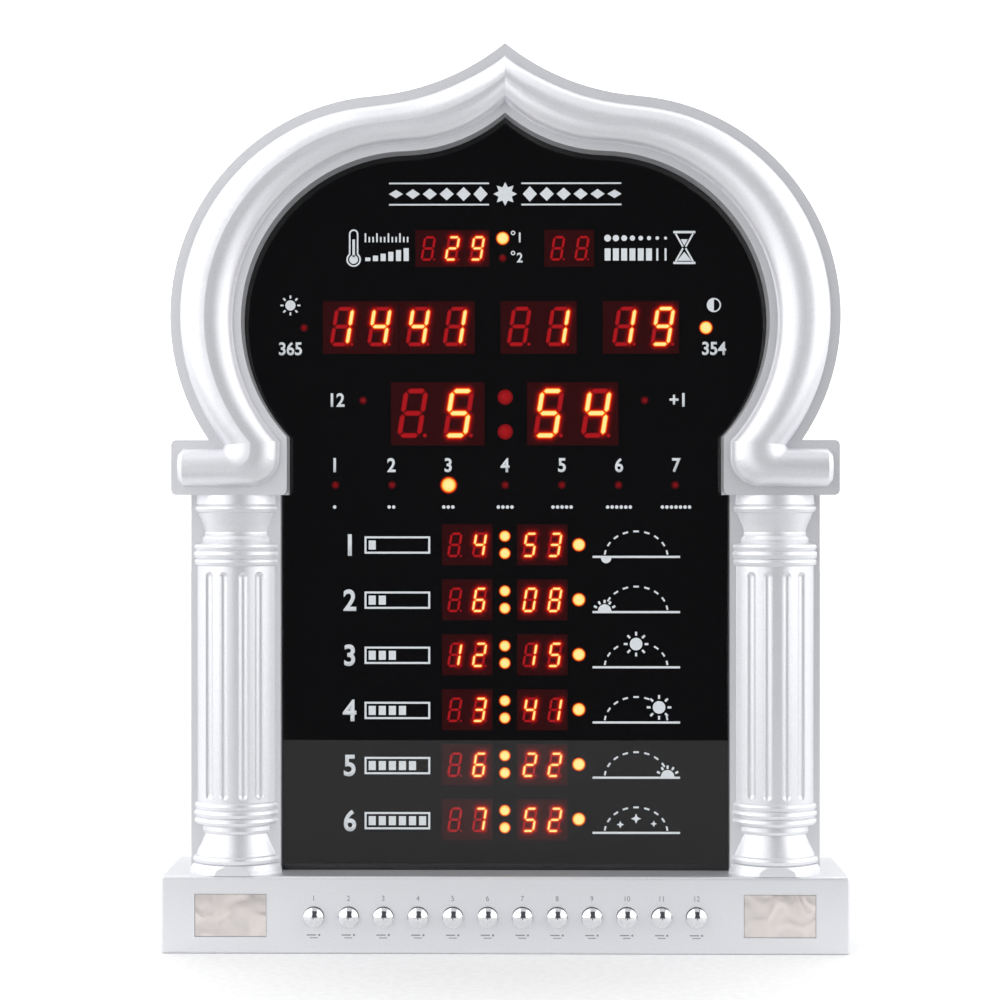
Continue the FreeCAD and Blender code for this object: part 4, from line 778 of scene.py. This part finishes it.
THERMO_X = -77.0
signs = [disc(THERMO_X, 349.3, 2.2), bar_sign(THERMO_X, 350.5, THERMO_X, 359.5, 1.3)]
signs.append(ring_sign(THERMO_X, 349.3, 3.7, 2.9, 122, 418))
for side in (-1, 1):
    signs.append(bar_sign(THERMO_X + side * 2.0, 352.2, THERMO_X + side * 2.0, 362.2, 0.8))
signs.append(ring_sign(THERMO_X, 362.2, 2.4, 1.6, 0, 180))
for k in range(12):
    tall = 4.6 if k % 3 == 0 else 2.8
    x = -71.0 + 1.95 * k
    signs.append(bar_sign(x, 358.0, x, 358.0 + tall, 0.8))
for k in range(6):
    x = -69.8 + 3.9 * k
    signs.append(bar_sign(x, 348.5, x, 350.3 + 0.95 * k, 2.6))
for z in (360.7, 350.5):
    signs.append(ring_sign(4.0, z + 2.0, 1.15, 0.6))

COUNT_X, COUNT_PITCH, FULL_BARS = 52.0, 4.2, 6
for k in range(8):
    signs.append(disc(COUNT_X + COUNT_PITCH * k, 360.0, 1.75 - 0.14 * k, 20))
for k in range(8):
    x = COUNT_X + COUNT_PITCH * k
    signs.append(bar_sign(x, 348.6, x, 354.8, 3.0 if k < FULL_BARS else 1.0))
GLASS_X = 90.9
for z in (347.4, 363.0):
    signs.append(bar_sign(GLASS_X - 5.6, z, GLASS_X + 5.6, z, 1.2))
for side in (-1, 1):
    signs.append(bar_sign(GLASS_X + side * 4.4, 362.2, GLASS_X + side * 0.7, 355.6, 0.9))
    signs.append(bar_sign(GLASS_X + side * 4.4, 348.2, GLASS_X + side * 0.7, 354.8, 0.9))
signs.append([(GLASS_X - 3.6, 348.5), (GLASS_X + 3.6, 348.5), (GLASS_X, 353.0)])
signs.append([(GLASS_X - 1.8, 359.4), (GLASS_X, 356.2), (GLASS_X + 1.8, 359.4)])
piece = plates("upper_signs_print", signs, WINDOW_Y, INK_MM, ink)
print("printed the ornament and the upper signs")

# %% [markdown]
# Seven numbers head the day lamps, with as many dots below each lamp.
# Each row has its number and a bar that fills through the day, and on the right the path of the sun.

# %% Numbers, day dots and row signs
entries = [("1", 7.4, 360.4, 5.0), ("2", 7.4, 350.2, 5.0)]
entries += [("365", -109.2, 304.0, 6.8), ("354", 105.9, 304.0, 6.8)]
entries += [("12", -85.9, 277.9, 7.0), ("+1", 87.9, 277.9, 7.0)]
entries += [(str(index + 1), x, 244.8, 7.2) for index, (x, z) in enumerate(day_places)]
entries += [(str(index + 1), -79.0, z, 11.0) for index, z in enumerate(row_heights)]
piece = figures("window_numbers_print", entries, WINDOW_Y, ink, bold=0.025)

signs = sun(-109.2, 326.0, 2.6)
signs.append(disc(105.9, 326.0, 3.6, 20, 90, 270))
signs.append(ring_sign(105.9, 326.0, 3.6, 2.9, -90, 90))
for index, (x, z) in enumerate(day_places):
    for dot in range(index + 1):
        signs.append(disc(x + (dot - index / 2) * 2.3, 223.5, 0.9, 16))
piece = plates("day_dots_print", signs, WINDOW_Y, INK_MM, ink)

BAR_LEFT, BAR_RIGHT = -71.5, -38.1
GROUND_LEFT, GROUND_RIGHT, GROUND_DROP = 44.4, 88.8, 6.0
SKY_MIDDLE, SKY_REACH, SKY_HEIGHT = 66.5, 19.5 * 0.82, 13.0
DASHES, SUN_CLEAR = 9, 5.6
SUN_PLACES = (-0.10, 0.0, 0.5, 0.76, 1.0, 1.10)


def sky(ground, turn):
    """A point of the sun's path over a row's horizon, from the right at 0 to the left at half a turn."""
    return SKY_MIDDLE + SKY_REACH * math.cos(turn), ground + SKY_HEIGHT * math.sin(turn)


signs = []
for index, z in enumerate(row_heights):
    for dz in (-3.9, 3.9):
        signs.append(bar_sign(BAR_LEFT, z + dz, BAR_RIGHT, z + dz, 1.0))
    for x in (BAR_LEFT + 0.5, BAR_RIGHT - 0.5):
        signs.append(bar_sign(x, z - 3.4, x, z + 3.4, 1.0))
    for block in range(index + 1):
        x = BAR_LEFT + 3.9 + block * 5.12
        signs.append(bar_sign(x - 1.8, z, x + 1.8, z, 4.6))
    ground = z - GROUND_DROP
    signs.append(bar_sign(GROUND_LEFT, ground, GROUND_RIGHT, ground, 1.1))
    share = SUN_PLACES[index]
    sx, sz = sky(ground, math.pi * (1 - share))
    for dash in range(DASHES):
        ax, az = sky(ground, math.pi * (dash + 0.25) / DASHES)
        bx, bz = sky(ground, math.pi * (dash + 0.75) / DASHES)
        if math.hypot((ax + bx) / 2 - sx, (az + bz) / 2 - sz) > SUN_CLEAR and min(az, bz) > ground + 0.8:
            signs.append(bar_sign(ax, az, bx, bz, 0.9))
    if share in (0.0, 1.0):
        signs.append(disc(sx, ground + 0.55, 3.4, 20, 0, 180))
        for ray in (30, 60, 90, 120, 150):
            c, s = math.cos(math.radians(ray)), math.sin(math.radians(ray))
            signs.append(bar_sign(sx + c * 4.5, ground + s * 4.5, sx + c * 6.2, ground + s * 6.2, 1.1))
    elif 0 < share < 1:
        signs += sun(sx, sz - 1.2, 3.2)
    elif share < 0:
        signs.append(disc(sx, ground - 0.6, 2.6, 18, 180, 360))
    else:
        signs.append(star(SKY_MIDDLE, ground + 7.2, 2.6, 1.1, 4))
        signs.append(star(SKY_MIDDLE + 9.0, ground + 4.6, 1.7, 0.7, 4))
        signs.append(star(SKY_MIDDLE - 8.0, ground + 4.2, 1.9, 0.8, 4))
piece = plates("row_signs_print", signs, WINDOW_Y, INK_MM, ink)
print("printed", len(entries), "numbers and", len(signs), "row signs")

# %% [markdown]
# The buttons have small grey marks above and below them. Here they are plain numbers and short dashes.

# %% Marks at the buttons
BUTTON_PITCH = 17.39
BUTTONS = 12
button_xs = [BUTTON_PITCH * (index - (BUTTONS - 1) / 2) for index in range(BUTTONS)]
entries = [(str(index + 1), x, 28.0, 2.6) for index, x in enumerate(button_xs)]
piece = figures("button_numbers_print", entries, BASE_Y, grey_ink, bold=0.0)
signs = []
for x in button_xs:
    signs.append(bar_sign(x - 3.4, 9.6, x + 1.2, 9.6, 0.55))
    signs.append(disc(x + 2.8, 9.6, 0.55, 12))
    signs.append(bar_sign(x - 2.0, 8.2, x + 2.0, 8.2, 0.4))
piece = plates("button_marks_print", signs, BASE_Y, INK_MM, grey_ink)
print("marked", len(button_xs), "buttons")

# %% [markdown]
# ## The studio
# The clock stands on white paper that ends a hand's width in front of it, and a grey table lies beyond.
# The window mirrors both in its lowest part and the dark room above them.
# The room is white at the sides and somewhat dimmer towards the wall behind the clock.
# Behind the camera it is dark in a wedge that widens upwards.
# The wedge draws the grey line along the crest of the silver moulding and keeps the window black.

# %% Paper and table
PAPER_FRONT, PAPER_BACK, TABLE_FRONT = -0.17, 5.0, -0.86
SIDEWAYS = 4


def flat_sheet(name, front, back, finish):
    """A level sheet under the clock, in metres, four to each side."""
    bm = bmesh.new()
    corners = [(-SIDEWAYS, front, 0), (SIDEWAYS, front, 0), (SIDEWAYS, back, 0), (-SIDEWAYS, back, 0)]
    bm.faces.new([bm.verts.new(corner) for corner in corners])
    mesh = bpy.data.meshes.new(name)
    bm.to_mesh(mesh)
    bm.free()
    mesh.materials.append(finish)
    made = bpy.data.objects.new(name, mesh)
    bpy.context.scene.collection.objects.link(made)


paper = grained("white_paper_sweep", "#E4E4E4", "#EAEAEA", 4.0, 0.01, 0.9,
                Emission_Color=srgb("#FFFFFF"), Emission_Strength=0.08)
laminate = grained("grey_table_laminate", "#A8A8A9", "#B0B0B1", 4.0, 0.01, 0.8)
flat_sheet("paper", PAPER_FRONT, PAPER_BACK, paper)
flat_sheet("table", TABLE_FRONT, PAPER_FRONT, laminate)
print("laid the paper and the table")

# %% Room light
world = bpy.data.worlds.new("studio")
bpy.context.scene.world = world
world.use_nodes = True
tree = world.node_tree
tree.nodes.clear()
ways = add(tree, "ShaderNodeTexCoord").outputs["Generated"]


def dimmed(direction, from_dot, to_dot, least):
    """The brightness of the room, 1 except around one direction."""
    dot = add(tree, "ShaderNodeVectorMath", {0: ways, 1: direction}, operation="DOT_PRODUCT")
    span = {"Value": dot.outputs["Value"], "From Min": from_dot, "From Max": to_dot,
            "To Min": 1.0, "To Max": least}
    return add(tree, "ShaderNodeMapRange", span, interpolation_type="SMOOTHSTEP").outputs["Result"]


def maths(operation, *values):
    """One sum on the room's brightness."""
    return add(tree, "ShaderNodeMath", dict(enumerate(values)), operation=operation).outputs[0]


camera_side = dimmed((0.13, -0.988, 0.08), 0.89, 0.955, 0.0)
wall_side = dimmed((0.0, 0.98, 0.2), 0.80, 0.97, 0.55)
axes = add(tree, "ShaderNodeSeparateXYZ", {0: ways}).outputs
WEDGE_MIDDLE, WEDGE_SLANT = 0.12, -0.15
WEDGE_DARK, WEDGE_LIGHT = 0.18, 0.30
aside = maths("ABSOLUTE", maths("SUBTRACT", axes["X"], WEDGE_MIDDLE))
slant = maths("MULTIPLY_ADD", axes["Z"], WEDGE_SLANT, aside)
edge = {"Value": slant, "From Min": WEDGE_DARK, "From Max": WEDGE_LIGHT}
wedge = add(tree, "ShaderNodeMapRange", edge).outputs["Result"]
ahead = maths("MAXIMUM", wedge, maths("GREATER_THAN", axes["Y"], 0.0))
brightness = maths("MULTIPLY", maths("MULTIPLY", camera_side, wall_side), ahead)
seen = maths("MAXIMUM", brightness, add(tree, "ShaderNodeLightPath").outputs["Is Camera Ray"])
room = ramp(tree, seen, [(0.0, srgb("#424246")), (1.0, srgb("#FFFFFF"))])
light = add(tree, "ShaderNodeBackground", {"Color": room, "Strength": 1.6})
add(tree, "ShaderNodeOutputWorld", {"Surface": light.outputs[0]})
print("made the room", world.name)

# %% Soft boxes
AIM = (0, 0, 0.22)
WATTS = 2.4


def soft_box(name, place, wide, tall):
    """A large area light that faces the middle of the clock."""
    lamp = bpy.data.lights.new(name, "AREA")
    lamp.shape = "RECTANGLE"
    lamp.size, lamp.size_y, lamp.energy = wide, tall, WATTS
    made = bpy.data.objects.new(name, lamp)
    bpy.context.scene.collection.objects.link(made)
    made.location = place
    made.rotation_euler = (Vector(AIM) - Vector(place)).to_track_quat("-Z", "Y").to_euler()


soft_box("left_soft_box", (-1.1, -0.7, 0.6), 0.9, 1.2)
soft_box("right_soft_box", (1.1, -0.6, 0.6), 0.9, 1.2)
soft_box("top_soft_box", (0.0, -0.5, 1.3), 1.4, 0.8)
bpy.context.scene.view_settings.view_transform = "Standard"
print("studio lit")
